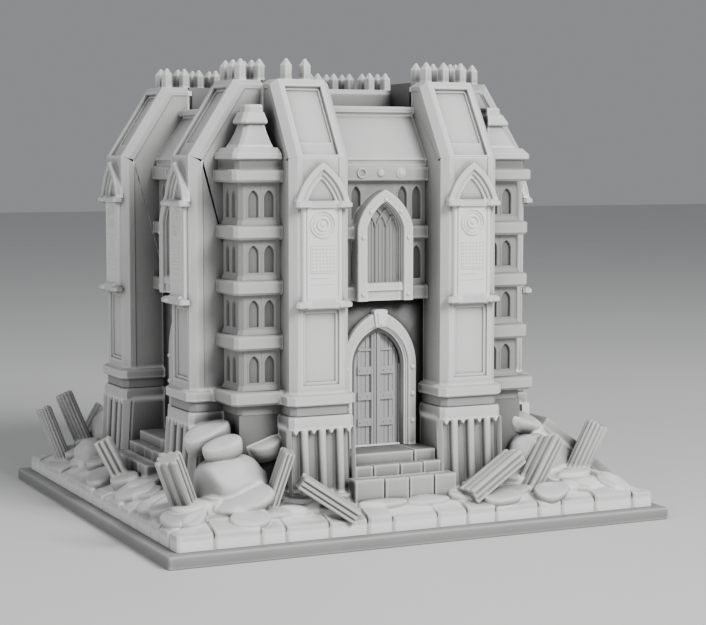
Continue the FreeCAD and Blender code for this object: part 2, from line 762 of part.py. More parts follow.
def make_bay_roof(side):
    """Mansard roof over a bay, with a cap moulding against the tower."""
    name = f"bay_roof_{side['name']}"
    body = keep(doc.addObject("PartDesign::Body", name), name)
    depth = f"{side['bay']} - {side['core']}"
    profile = new_sketch(body, "YZ_Plane")
    add_outline(profile, [
        (depth, "arcade_top"), (depth, "cap_top"), (f"{depth} - 1.4", "cap_top"),
        (f"{depth} - 1.4", "cap_bottom"), (f"{depth} - 0.6", "cap_bottom"),
        (f"{depth} - 0.6", "roof_head"), ("-roof_eave", "roof_foot"), ("-roof_eave + 0.6", "arcade_top"),
    ])
    pad(body, profile, f"2 * ({side['bay_half']})", centred=True)
    stand(body, side, side["bay"])


def make_lid():
    """Lift-off roof block with a locating plug that drops into the hatch."""
    name = "roof_lid"
    x_span, y_span = ("-lid_half_x", "lid_half_x"), ("-lid_half_y", "lid_half_y")
    bevel = "lid_bevel"
    lid = join(name, [
        block(name + "_block", x_span, y_span, ("deck_level", f"lid_top - {bevel}")),
        frustum(name + "_bevel", (f"lid_top - {bevel}", "lid_top"), x_span, y_span,
                (f"-lid_half_x + {bevel}", f"lid_half_x - {bevel}"),
                (f"-lid_half_y + {bevel}", f"lid_half_y - {bevel}")),
        block(name + "_plug", ("-hatch_half_x + lid_fit", "hatch_half_x - lid_fit"),
              ("-hatch_half_y + lid_fit", "hatch_half_y - lid_fit"),
              ("deck_level - deck_thick", "deck_level")),
    ])
    bind(lid, Placement__Base__x="tower_shift_x", Placement__Base__y="tower_shift_y")
    keep(lid, name)


# ---------------------------------------------------------------- doors

def make_door_frame(side):
    """Arched surround with a threshold, stepped rebate, keystone, studs and the upper pin lugs."""
    name = f"door_frame_{side['name']}"
    body = keep(doc.addObject("PartDesign::Body", name), name)
    ring = new_sketch(body, "XZ_Plane")
    add_outer_and_inner_arch(ring, "door_outer_half", "door_outer_peak", "door_inner_half",
                             "door_inner_peak")
    pad(body, ring, "door_face")
    step = new_sketch(body, "XZ_Plane")
    add_outer_and_inner_arch(step, "passage_half", "door_outer_peak - 2", "door_inner_half - 1.1",
                             "door_inner_peak - 1.3")
    pad(body, step, "0.9")
    rebate = new_sketch(body, "XZ_Plane")
    add_rectangle(rebate, ("-passage_half", "passage_half"), ("floor_level", "passage_top"))
    add_arch(rebate, "door_rebate_half", "floor_level + threshold", "door_spring", "door_rebate_peak")
    pad(body, rebate, "hinge_setback - 1.1", inward=True)
    keystone = new_sketch(body, "XZ_Plane")
    add_outline(keystone, [("-2.1", "door_inner_peak - 0.6"), ("2.1", "door_inner_peak - 0.6"),
                           ("3.0", "door_outer_peak + 0.6"), ("-3.0", "door_outer_peak + 0.6")])
    pad(body, keystone, "door_face + 0.8")
    studs = new_sketch(body, "XZ_Plane", "door_face")
    for sign in (-1, 1):
        for level in ("59", "49", "39"):
            add_circle(studs, f"{sign} * (door_outer_half + door_inner_half) / 2", level, "stud_radius")
    pad(body, studs, "0.7")
    lug_span = ("barrel_top + 0.2", "2.2")
    for sign in (-1, 1):
        lug = body.newObject("PartDesign::AdditiveCylinder", name + "_lug")
        bind(lug, Radius="1.2", Height=lug_span[1], Placement__Base__x=f"{sign} * hinge_offset",
             Placement__Base__y="hinge_setback", Placement__Base__z=lug_span[0])
        arm = body.newObject("PartDesign::AdditiveBox", name + "_arm")
        low = "-passage_half" if sign < 0 else "hinge_offset"
        bind(arm, Length="passage_half - hinge_offset", Width="2.3", Height=lug_span[1],
             Placement__Base__x=low, Placement__Base__y="hinge_setback - 1.1",
             Placement__Base__z=lug_span[0])
        hole = body.newObject("PartDesign::SubtractiveCylinder", name + "_hole")
        bind(hole, Radius="socket_radius", Height=lug_span[1] + " + 2",
             Placement__Base__x=f"{sign} * hinge_offset", Placement__Base__y="hinge_setback",
             Placement__Base__z=lug_span[0] + " - 1")
    stand(body, side, side["bay"])


def add_outer_and_inner_arch(sketch, outer_half, outer_peak, inner_half, inner_peak):
    """Arched band open at its foot, as one closed outline."""
    add_outline(
        sketch,
        [(f"-({outer_half})", "floor_level"), (f"-({inner_half})", "floor_level"),
         (f"-({inner_half})", "door_spring"), ("0", inner_peak), (inner_half, "door_spring"),
         (inner_half, "floor_level"), (outer_half, "floor_level"), (outer_half, "door_spring"),
         ("0", outer_peak), (f"-({outer_half})", "door_spring")],
        {2: "door_spring", 3: "door_spring", 7: "door_spring", 8: "door_spring"},
    )


def make_door_leaf(side, hand, sign):
    """One leaf of the pair: boarded plate, hinge barrel, meeting stile and strap bars."""
    name = f"door_leaf_{side['name']}_{hand}"
    body = keep(doc.addObject("PartDesign::Body", name), name)
    bottom = "floor_level + leaf_clearance"
    meet, edge = f"{sign} * leaf_gap", f"{sign} * leaf_edge"
    front = "hinge_setback - leaf_thick / 2"
    plate = new_sketch(body, "XZ_Plane", f"-({front})")
    corners = [(meet, bottom), (edge, bottom), (edge, "door_spring"), (meet, "leaf_peak")]
    if sign < 0:
        corners = [(edge, bottom), (meet, bottom), (meet, "leaf_peak"), (edge, "door_spring")]
    add_outline(plate, corners, {2: "door_spring"})
    pad(body, plate, "leaf_thick", inward=True)
    web = new_sketch(body, "XZ_Plane", f"-({front})")
    add_rectangle(web, ordered(sign, "leaf_edge - 0.5", "hinge_offset"), (bottom, "door_spring"))
    pad(body, web, "leaf_thick", inward=True)
    barrel = body.newObject("PartDesign::AdditiveCylinder", name + "_barrel")
    bind(barrel, Radius="barrel_radius", Height=f"barrel_top - ({bottom})",
         Placement__Base__x=f"{sign} * hinge_offset", Placement__Base__y="hinge_setback",
         Placement__Base__z=bottom)
    bore = body.newObject("PartDesign::SubtractiveCylinder", name + "_bore")
    bind(bore, Radius="barrel_bore", Height=f"barrel_top - ({bottom}) + 2",
         Placement__Base__x=f"{sign} * hinge_offset", Placement__Base__y="hinge_setback",
         Placement__Base__z=f"{bottom} - 1")
    trim = new_sketch(body, "XZ_Plane", f"-({front})")
    add_rectangle(trim, ordered(sign, "leaf_gap + 0.15", "leaf_gap + 0.15 + stile_width"),
                  (f"{bottom} + 0.6", "leaf_peak - 2"))
    pad(body, trim, "strap_thick")
    straps = new_sketch(body, "XZ_Plane", f"-({front})")
    for level in ("37.4", "46.8", "56.4"):
        add_rectangle(straps, ordered(sign, "leaf_gap + stile_width", "strap_reach"),
                      (level, f"{level} + strap_height"))
    pad(body, straps, "strap_thick - 0.2")
    stand(body, side, side["bay"])


def make_hinge_pins():
    """Eight plain pins, each held by a podium socket below and a frame lug above."""
    pins = []
    for side in SIDES:
        for _, sign in HANDS:
            pin = upright("pin", "pin_radius", f"{sign} * hinge_offset", "hinge_setback",
                          ("floor_level - 1", "barrel_top + 2.2"))
            pins.append(stand(group("pin_place", [pin]), side, side["bay"]))
    keep(group("door_hinge_pins", pins), "door_hinge_pins")


# ---------------------------------------------------------------- roof spikes and rubble

def make_spikes():
    """Six-sided spikes with pointed tips, in clusters on the flat heads of the buttresses."""
    pitch = number("spike_pitch")
    clusters = [
        # middle of the cluster in the tower's plan, columns, rows
        (-30.2, -53.5, 2, 1), (31.5, -51.5, 3, 1), (31.5, -43.2, 3, 1),
        (-44.7, -38.1, 2, 3), (45.6, -38.1, 2, 2), (-45.2, 35.5, 2, 2),
        (-28.5, 44.0, 2, 2), (29.6, 46.5, 3, 2), (44.6, 35.0, 2, 2),
    ]
    spikes = []
    for middle_x, middle_y, columns, rows in clusters:
        for column in range(columns):
            for row in range(rows):
                x = number("tower_shift_x") + middle_x + (column - (columns - 1) / 2) * pitch
                y = number("tower_shift_y") + middle_y + (row - (rows - 1) / 2) * pitch
                spikes.append(spike(x, y))
    item = doc.addObject("Part::Feature", "roof_spikes")
    item.Shape = Part.makeCompound(spikes)
    keep(item, "roof_spikes")


def spike(x, y):
    radius, foot = number("spike_radius"), number("tower_top")
    shoulder = foot + number("spike_shaft")
    shaft = Part.Face(hexagon(x, y, foot, radius)).extrude(Vector(0, 0, number("spike_shaft")))
    tip = Part.makeLoft([hexagon(x, y, shoulder, radius),
                         hexagon(x, y, shoulder + number("spike_tip"), 0.12 * radius)], True, True)
    return shaft.fuse(tip).removeSplitter()


def hexagon(x, y, z, radius):
    corners = []
    for step in range(7):
        angle = math.radians(60 * step + 30)
        corners.append(Vector(x + radius * math.cos(angle), y + radius * math.sin(angle), z))
    return Part.makePolygon(corners)


def stone(x, y, z, half_x, half_y, half_z, turn=0, lean=0):
    """Faceted egg-shaped stone: eight meridians and six bands, squashed to its three half sizes."""
    meridians, bands = 8, 6
    rings = []
    for band in range(1, bands):
        latitude = math.pi * band / bands - math.pi / 2
        rings.append([Vector(math.cos(latitude) * math.cos(2 * math.pi * step / meridians),
                             math.cos(latitude) * math.sin(2 * math.pi * step / meridians),
                             math.sin(latitude)) for step in range(meridians)])
    faces = []
    for lower, upper in zip(rings, rings[1:]):
        for step in range(meridians):
            after = (step + 1) % meridians
            faces.append([lower[step], lower[after], upper[after], upper[step]])
    faces += [list(reversed(rings[0])), rings[-1]]
    shell = Part.makeShell([Part.Face(Part.makePolygon(face + face[:1])) for face in faces])
    scale = Matrix()
    scale.scale(half_x, half_y, half_z)
    solid = Part.makeSolid(shell).transformGeometry(scale)
    solid.Placement = Placement(Vector(x, y, z), Rotation(turn, 0, lean))
    return solid


def slab(x, y, bottom, top, half_x, half_y, turn=0):
    """Flat oval stone."""
    oval = Part.Ellipse(Vector(0, 0, 0), max(half_x, half_y), min(half_x, half_y)).toShape()
    solid = Part.Face(Part.Wire(oval)).extrude(Vector(0, 0, top - bottom))
    quarter = 0 if half_x >= half_y else 90
    solid.Placement = Placement(Vector(x, y, bottom), Rotation(Vector(0, 0, 1), turn + quarter))
    return solid


def column(foot, head, radius, sides=10):
    """Broken column drum: many-sided prism between two points."""
    axis = head - foot
    corners = []
    for step in range(sides + 1):
        angle = 2 * math.pi * step / sides
        corners.append(Vector(radius * math.cos(angle), radius * math.sin(angle), 0))
    solid = Part.Face(Part.makePolygon(corners)).extrude(Vector(0, 0, axis.Length))
    solid.Placement = Placement(foot, Rotation(Vector(0, 0, 1), axis))
    return solid


def plank(foot, head, width, thick):
    """Squared beam between two points, its broad face as level as its slope allows."""
    axis = head - foot
    level = axis.cross(Vector(0, 0, 1)).normalize()
    solid = Part.makeBox(width, thick, axis.Length, Vector(-width / 2, -thick / 2, 0))
    solid.Placement = Placement(foot, Rotation(level, level.cross(axis), axis, "ZXY"))
    return solid


def fit_in(solid, taken):
    """The part of a loose piece that is left above ground and outside what already stands there."""
    ground = number("ground_level")
    reach = number("plate_length")
    left = solid.common(Part.makeBox(2 * reach, 2 * reach, reach, Vector(-reach, -reach, ground)))
    for other in taken:
        if left.Solids and left.BoundBox.intersect(other.BoundBox):
            outside = left.Volume - left.common(other).Volume
            if outside < 0.2 * solid.Volume:
                return None
            left = left.cut(other)
    whole = [piece for piece in left.Solids if piece.Volume > 0.2 * solid.Volume]
    return max(whole, key=lambda piece: piece.Volume) if whole else None


def make_rubble(masonry):
    """Boulders, fallen columns and beams, and flat paving stones, none of them overlapping."""
    shift = Vector(number("tower_shift_x"), number("tower_shift_y"), 0)
    boulders = [
        # front left heap
        stone(-61, -67, 21.5, 14, 11, 12, 20), stone(-68.7, -60, 38, 8.5, 7, 2.8, 10, 35),
        stone(-66, -70, 35.2, 7, 5.8, 2.6, -15, 35), stone(-50, -64, 34.5, 8.5, 7, 3.2, 25, 40),
        stone(-64.5, -80, 18, 12, 6.5, 3.5, 5), stone(-84, -62, 12, 8, 6, 4.5, 40),
        # right heap
        stone(60.5, -66, 22, 9.5, 9, 11, 30), stone(61.5, -62, 35, 8.5, 7, 3.2, 10, 20),
        stone(74, -46, 16, 8, 9, 8, 0), stone(80, -30, 13, 7, 8, 6, 20),
        # left side
        stone(-80, -10, 13, 8, 7, 4.5, 10), stone(-78, 44, 17, 7, 8, 7, 0),
        stone(-62, 70, 20, 8, 8, 12, 20),
        # back corners
        stone(66, 70, 19, 13, 11, 11, -20), stone(52, 82, 14, 9, 6, 5, 10), stone(84, 60, 12, 7, 8, 4.5, 0),
        stone(-56, 82, 13, 8, 6, 5, 30),
        # broad flat stones on the paving
        stone(-83, -77, 13, 9.5, 8, 2.6, 10), stone(-62.5, -88, 12, 8, 5.5, 2.6, 0),
        stone(-41, -82, 13, 8, 6, 2.6, -10), stone(-85, 8, 13, 7, 9, 2.6, 0),
        stone(-84, -27, 13, 7, 10, 2.6, 0), stone(-85, -54, 12.5, 6.5, 9, 2.6, 0),
        stone(74, -83, 13, 9, 6.5, 2.6, 15), stone(88, -85, 12, 8, 6.5, 2.6, 0),
        stone(57, -90, 12, 7.5, 5, 2.6, 5), stone(36, -90, 12, 7.5, 5, 2.6, -5),
    ]
    fallen = [
        plank(Vector(-76, -66, 8), Vector(-90, -81, 35), 8.5, 6.2),
        plank(Vector(-54, -79, 8), Vector(-45, -80, 34), 8, 4),
        plank(Vector(-42, -84, 24), Vector(-24, -92, 11), 9, 5),
        plank(Vector(23, -88, 14), Vector(45, -84, 26.5), 8.5, 6.2),
        plank(Vector(48.5, -81.8, 8), Vector(66, -76, 30.5), 8.5, 6.2),
        column(Vector(73.5, -73.4, 8), Vector(89.8, -70, 33.2), 4.6),
        plank(Vector(101, -57, 11), Vector(70, -57, 35), 14, 4.5),
        plank(Vector(-78, -6, 8), Vector(-88, -1.5, 29.6), 8.5, 6.2),
        column(Vector(-82.7, 63.6, 8), Vector(-89.5, 75, 32.3), 3.4),
        column(Vector(-69.4, 70.5, 8), Vector(-79.3, 80, 37.4), 3.8),
        column(Vector(40, 84, 12), Vector(14, 88, 22), 4.6),
        column(Vector(78, 28, 8), Vector(90, 40, 34), 4.6),
        plank(Vector(-74, 84, 8), Vector(-60, 87, 30), 8, 4),
    ]
    taken = list(masonry)
    kept = {"rubble_boulders": [], "fallen_columns": []}
    for node, pieces in (("rubble_boulders", boulders), ("fallen_columns", fallen)):
        for piece in pieces:
            piece.Placement.Base = piece.Placement.Base + shift
            left = fit_in(piece, taken)
            if left is not None:
                kept[node].append(left)
                taken.append(left)
    kept["paving_flagstones"] = lay_flagstones(taken)
    for node, pieces in kept.items():
        item = doc.addObject("Part::Feature", node)
        item.Shape = Part.makeCompound(pieces)
        keep(item, node)


def lay_flagstones(taken):
    """Oval stones in offset rows over the open ground, higher towards the tower."""
    ground = number("ground_level")
    half_x = number("plate_length / 2 - kerb_inset - kerb_depth + flag_overlap")
    half_y = number("plate_width / 2 - kerb_inset - kerb_depth + flag_overlap")
    pitch_x, pitch_y = 18.6, 13.4
    stones = []
    rows = int(2 * half_y / pitch_y)
    columns = int(2 * half_x / pitch_x)
    for row in range(rows + 1):
        for column_index in range(columns + 1):
            wave = math.sin(5.1 * column_index + 3.7 * row)
            x = -half_x + pitch_x * (column_index + 0.5 * (row % 2)) + 1.2 * wave
            y = -half_y + pitch_y * row + 0.8 * math.cos(4.3 * column_index + row)
            inward = max(0, min(half_x - abs(x), half_y - abs(y)))
            rise = 3.2 + 0.6 * wave + min(0.75 * inward, 3.6) + 0.09 * min(inward, 26)
            flag = slab(x, y, ground, ground + rise, 8.3 + 0.5 * wave, 6.0 - 0.4 * wave, 9 * wave)
            inside = Part.makeBox(2 * half_x, 2 * half_y, 40, Vector(-half_x, -half_y, ground))
            near = [other for other in taken if flag.BoundBox.intersect(other.BoundBox)]
            flag = fit_in(flag.common(inside), near)
            if flag is not None and flag.Volume > 60:
                stones.append(flag)
    return stones


# ---------------------------------------------------------------- assembly

make_base_plate()
make_podium()
make_core()
for each_side in SIDES:
    make_steps(each_side)
    make_arcade(each_side)
    make_window(each_side)
    make_bay_roof(each_side)
    make_door_frame(each_side)
make_kerb()
CORNERS = ("front_right", "back_right", "back_left", "front_left")
for each_side, corner in zip(SIDES, CORNERS):
    make_turret(each_side, corner)
    make_turret_roof(each_side, corner)
plinths, plaques = [], []
for each_side in SIDES:
    for which, direction in HANDS:
        make_buttress(each_side, which, direction)
        plinths.append(make_plinth(each_side, which, direction))
        plaques.append(make_plaque(each_side, which, direction))
        make_door_leaf(each_side, which, direction)
keep(group("buttress_plinths", plinths), "buttress_plinths")
keep(group("buttress_plaques", plaques), "buttress_plaques")
make_hinge_pins()
make_lid()
make_spikes()
doc.recompute()

standing = [doc.getObject("podium").Shape]
standing += [plinth.Shape for plinth in plinths]
standing += [doc.getObjectsByLabel(f"steps_{each_side['name']}")[0].Shape for each_side in SIDES]
standing += doc.getObjectsByLabel("paving_kerb_blocks")[0].Shape.Solids
make_rubble(standing)
doc.recompute()

failed = [item.Label for item in doc.Objects if {"Invalid", "Error"} & set(item.State)]
if failed:
    raise RuntimeError("objects that failed to build: " + ", ".join(failed))
os.makedirs("parts", exist_ok=True)
for label in node_names:
    shape = doc.getObjectsByLabel(label)[0].Shape
    if shape.isNull() or not shape.isValid() or not shape.Solids:
        raise RuntimeError(f"{label} has no valid solid")
    shape.exportStep(f"parts/{label}.step")
print(len(node_names), "sub-parts written")
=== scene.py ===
"""A gothic tower for the games table, on a square base of rubble and paving."""
import random
from math import acos, asin, atan2, copysign, cos, hypot, pi, radians, sin, tan

import bmesh
import bpy
from mathutils import Matrix, Vector, noise


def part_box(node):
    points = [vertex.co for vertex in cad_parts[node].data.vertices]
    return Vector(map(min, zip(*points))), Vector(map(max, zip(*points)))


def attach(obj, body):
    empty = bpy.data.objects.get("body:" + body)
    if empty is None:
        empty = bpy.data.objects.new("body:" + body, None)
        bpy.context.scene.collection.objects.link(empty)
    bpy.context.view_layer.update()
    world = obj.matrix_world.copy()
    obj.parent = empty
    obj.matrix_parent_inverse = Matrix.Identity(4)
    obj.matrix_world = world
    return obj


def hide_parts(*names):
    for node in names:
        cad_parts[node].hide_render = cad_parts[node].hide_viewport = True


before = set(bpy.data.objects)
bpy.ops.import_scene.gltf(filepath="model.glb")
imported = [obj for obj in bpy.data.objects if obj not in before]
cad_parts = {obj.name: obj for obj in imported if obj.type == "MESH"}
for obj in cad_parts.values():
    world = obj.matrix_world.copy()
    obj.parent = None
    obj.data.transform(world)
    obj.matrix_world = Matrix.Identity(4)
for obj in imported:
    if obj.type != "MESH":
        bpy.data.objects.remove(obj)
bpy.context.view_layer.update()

# Shapes are worked out in millimetres and turned into metres when a mesh is finished.
MM = 0.001
SIDES = {"front": 0, "right": 90, "back": 180, "left": 270}
HANDS = {"left": -1, "right": 1}
TURRETS = {"front": "front_right", "right": "back_right", "back": "back_left", "left": "front_left"}


# ---- camera, floor and light

def add_object(name, data):
    """A new object in the scene."""
    thing = bpy.data.objects.new(name, data)
    bpy.context.scene.collection.objects.link(thing)
    return thing


def add_camera():
    """The camera stands front left, a little above the middle of the tower."""
    data = bpy.data.cameras.new("camera")
    data.lens = 90.7
    data.sensor_width = 36
    camera = add_object("camera", data)
    camera.location = (-0.29434, -0.64470, 0.13515)
    downward, sideways = radians(4.859), radians(-25.49)
    camera.rotation_euler = (pi / 2 - downward, 0, sideways)
    bpy.context.scene.camera = camera


def add_floor():
    """A wide pale sheet under the object."""
    reach = 4.0
    data = bpy.data.meshes.new("floor")
    corners = [(-reach, -reach, 0), (reach, -reach, 0), (reach, reach, 0), (-reach, reach, 0)]
    data.from_pydata(corners, [], [(0, 1, 2, 3)])
    data.materials.append(floor_paint())
    floor = add_object("floor", data)


def add_lamp(name, spot, aim, size, power):
    """A square soft box that faces its aim."""
    data = bpy.data.lights.new(name, "AREA")
    data.size = size
    data.energy = power
    lamp = add_object(name, data)
    lamp.location = spot
    lamp.rotation_euler = (Vector(aim) - Vector(spot)).to_track_quat("-Z", "Y").to_euler()


def add_light():
    """A soft sky all round, a key from the front and above, and a weak fill from the left."""
    middle = (0, 0, 0.08)
    add_lamp("key", (0.3, -1.0, 0.8), middle, 0.5, 22)
    add_lamp("fill", (-0.95, -0.35, 0.5), middle, 0.6, 3)
    world = bpy.data.worlds.new("world")
    world.use_nodes = True
    sky = world.node_tree.nodes["Background"]
    sky.inputs["Color"].default_value = (0.9, 0.92, 0.95, 1)
    sky.inputs["Strength"].default_value = 0.3
    bpy.context.scene.world = world


# ---- materials

def new_material(name):
    """A new material, its node tree and its shader."""
    material = bpy.data.materials.new(name)
    material.use_nodes = True
    return material, material.node_tree, material.node_tree.nodes["Principled BSDF"]


def add_node(tree, kind, **settings):
    """A new node with its settings, as in set_up."""
    return set_up(tree.nodes.new(kind), **settings)


def set_up(node, **settings):
    """Give a node its settings; a setting whose name is an input's goes into that socket."""
    for name, value in settings.items():
        socket = name.replace("_", " ").title()
        if socket in node.inputs:
            node.inputs[socket].default_value = value
        else:
            setattr(node, name, value)
    return node


def add_bump(tree, shader, height, strength, distance):
    """Bump the shader's surface by a height."""
    bump = add_node(tree, "ShaderNodeBump", strength=strength, distance=distance)
    tree.links.new(height, bump.inputs["Height"])
    tree.links.new(bump.outputs["Normal"], shader.inputs["Normal"])


def add_ramp(tree, source, low, high, low_tone, high_tone):
    """Colour ramp between two grey or coloured tones."""
    ramp = add_node(tree, "ShaderNodeValToRGB")
    for element, place, tone in zip(ramp.color_ramp.elements, (low, high), (low_tone, high_tone)):
        element.position = place
        element.color = (*tone, 1)
    tree.links.new(source, ramp.inputs["Fac"])
    return ramp.outputs["Color"]


def floor_paint():
    """Pale matt paint, faintly mottled."""
    material, tree, shader = new_material("floor_paint")
    grain = add_node(tree, "ShaderNodeTexNoise", scale=60, detail=6)
    tone = add_ramp(tree, grain.outputs["Fac"], 0, 1, (0.66, 0.66, 0.65), (0.72, 0.72, 0.71))
    tree.links.new(tone, shader.inputs["Base Color"])
    set_up(shader, roughness=0.8)
    return material


def resin(name, grey, blue, roughness, grain, painted_shade, painted_edge_highlight=True):
    """Cast grey resin: cloudy in tone, finely grained, with painted shade darkening its hollows and a
    painted highlight paling its edges.

    grain is (depth, size) and the painted shade in hollows is (reach, darkest tone), with lengths in
    metres.
    """
    material, tree, shader = new_material(name)
    link = tree.links.new
    where = add_node(tree, "ShaderNodeTexCoord").outputs["Object"]
    white, black, tint = (1, 1, 1), (0, 0, 0), (grey, grey, blue)

    clouds = add_node(tree, "ShaderNodeTexNoise", scale=45, detail=8, roughness=0.62)
    link(where, clouds.inputs["Vector"])
    dull, clean = [0.93 * c for c in tint], [1.04 * c for c in tint]
    tone = add_ramp(tree, clouds.outputs["Fac"], 0.3, 0.7, dull, clean)

    # Painted shade: ambient occlusion darkens the colour in hollows, recesses and corners.
    reach, darkest = painted_shade
    hollow = add_node(tree, "ShaderNodeAmbientOcclusion", samples=6, distance=reach)
    shade = add_ramp(tree, hollow.outputs["AO"], 0.3, 0.95, (darkest, darkest, darkest), white)
    darker = add_node(tree, "ShaderNodeMix", data_type="RGBA", blend_type="MULTIPLY", factor=1)
    link(tone, darker.inputs["A"])
    link(shade, darker.inputs["B"])
    link(darker.outputs["Result"], shader.inputs["Base Color"])

    # Painted highlight: edges are made paler, as where light catches them.
    if painted_edge_highlight:
        edge = add_node(tree, "ShaderNodeAmbientOcclusion", samples=6, distance=0.0014, inside=True)
        # worn is the mask of this painted edge highlight.
        worn = add_ramp(tree, edge.outputs["AO"], 0.5, 0.9, white, black)
        paler = add_node(tree, "ShaderNodeMix", data_type="RGBA")
        link(worn, paler.inputs["Factor"])
        link(darker.outputs["Result"], paler.inputs["A"])
        paler.inputs["B"].default_value = (*[1.25 * c for c in tint], 1)
        link(paler.outputs["Result"], shader.inputs["Base Color"])

    gloss = add_node(tree, "ShaderNodeMapRange", to_min=roughness - 0.06, to_max=roughness + 0.06)
    link(clouds.outputs["Fac"], gloss.inputs["Value"])
    link(gloss.outputs["Result"], shader.inputs["Roughness"])

    depth, size = grain
    grit = add_node(tree, "ShaderNodeTexNoise", scale=1 / size, detail=5, roughness=0.6)
    link(where, grit.inputs["Vector"])
    add_bump(tree, shader, grit.outputs["Fac"], 1, depth)
    shader.inputs["Specular IOR Level"].default_value = 0.35
    return material


def wire_steel():
    """Drawn steel wire for the hinge pins."""
    material, tree, shader = new_material("wire_steel")
    where = add_node(tree, "ShaderNodeTexCoord").outputs["Object"]
    stretch = add_node(tree, "ShaderNodeMapping", scale=(4000, 4000, 60))
    lines = add_node(tree, "ShaderNodeTexNoise", scale=1, detail=3)
    tree.links.new(where, stretch.inputs["Vector"])
    tree.links.new(stretch.outputs["Vector"], lines.inputs["Vector"])
    add_bump(tree, shader, lines.outputs["Fac"], 0.5, 0.00003)
    set_up(shader, base_color=(0.55, 0.55, 0.56, 1), metallic=1, roughness=0.35)
    return material


FINE, MATT, COARSE = (0.00005, 0.0012), (0.00006, 0.0014), (0.0001, 0.0015)
# The record's slot of each resin, its grey and blue, roughness, grain, painted shade in hollows (reach,
# darkest tone) and whether its edges get a painted highlight.
RESINS = {
    "resin_tower": ("resin_tower", 0.60, 0.59, 0.55, FINE, (0.03, 0.12)),
    "resin_trim": ("resin_tower", 0.60, 0.59, 0.55, FINE, (0.008, 0.2)),
    # These four darker greys paint shade onto overhung and set-back parts: a mid grey on bands, cornices
    # and steps, darker ones on recessed walls, necks and bay walls.
    "resin_shade": ("resin_tower", 0.47, 0.46, 0.55, FINE, (0.03, 0.1)),
    "resin_recess_painted_shade": ("resin_tower", 0.22, 0.216, 0.55, FINE, (0.02, 0.15)),
    "resin_neck_painted_shade": ("resin_tower", 0.33, 0.325, 0.6, MATT, (0.01, 0.2), False),
    "resin_wall_painted_shade": ("resin_tower", 0.31, 0.305, 0.6, MATT, (0.05, 0.03), False),
    "resin_door": ("resin_door", 0.28, 0.278, 0.55, (0.00006, 0.001), (0.005, 0.3)),
    "resin_ground": ("resin_ground", 0.62, 0.61, 0.6, COARSE, (0.012, 0.22)),
    "resin_plate": ("resin_ground", 0.36, 0.355, 0.6, COARSE, (0.012, 0.3)),
    "resin_fallen": ("resin_ground", 0.43, 0.42, 0.5, COARSE, (0.012, 0.2)),
}
MATERIALS = {name: resin(name, *look[1:]) for name, look in RESINS.items()}
MATERIALS["pin_steel"] = wire_steel()


# ---- places in the frame

def span(node):
    """Lowest and highest corner of a CAD node, in millimetres."""
    return [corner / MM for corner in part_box(node)]


def split_box(box):
    """Middle and half sizes of a box that is given by its lowest and highest corner."""
    low, high = box
    return (low + high) / 2, (high - low) / 2


TOWER = split_box(span("core_walls"))[0]


def place(side, outward, sideways=0):
    """Frame of a side: x to the right as seen from outside, y inward, z up from the table."""
    turn = Matrix.Rotation(radians(SIDES[side]), 4, "Z")
    middle = Matrix.Translation((TOWER.x, TOWER.y, 0))
    return middle @ turn @ Matrix.Translation((sideways, -outward, 0))


def seen_from(side, node):
    """A node's box in the frame of a side, measured from the tower's middle."""
    back = place(side, 0).inverted()
    low, high = span(node)
    ends = [back @ low, back @ high]
    return (Vector(map(min, *ends)), Vector(map(max, *ends)))


def bay_reach(side):
    """Distance from the tower's middle to the face of a side's bay wall."""
    return -seen_from(side, "core_walls")[0].y


def bay_place(side, node):
    """Frame on the face of a side's bay wall, at the middle of a node."""
    return place(side, bay_reach(side), split_box(seen_from(side, node))[0].x)


# ---- mesh tools

PANEL_WALL = 0.06


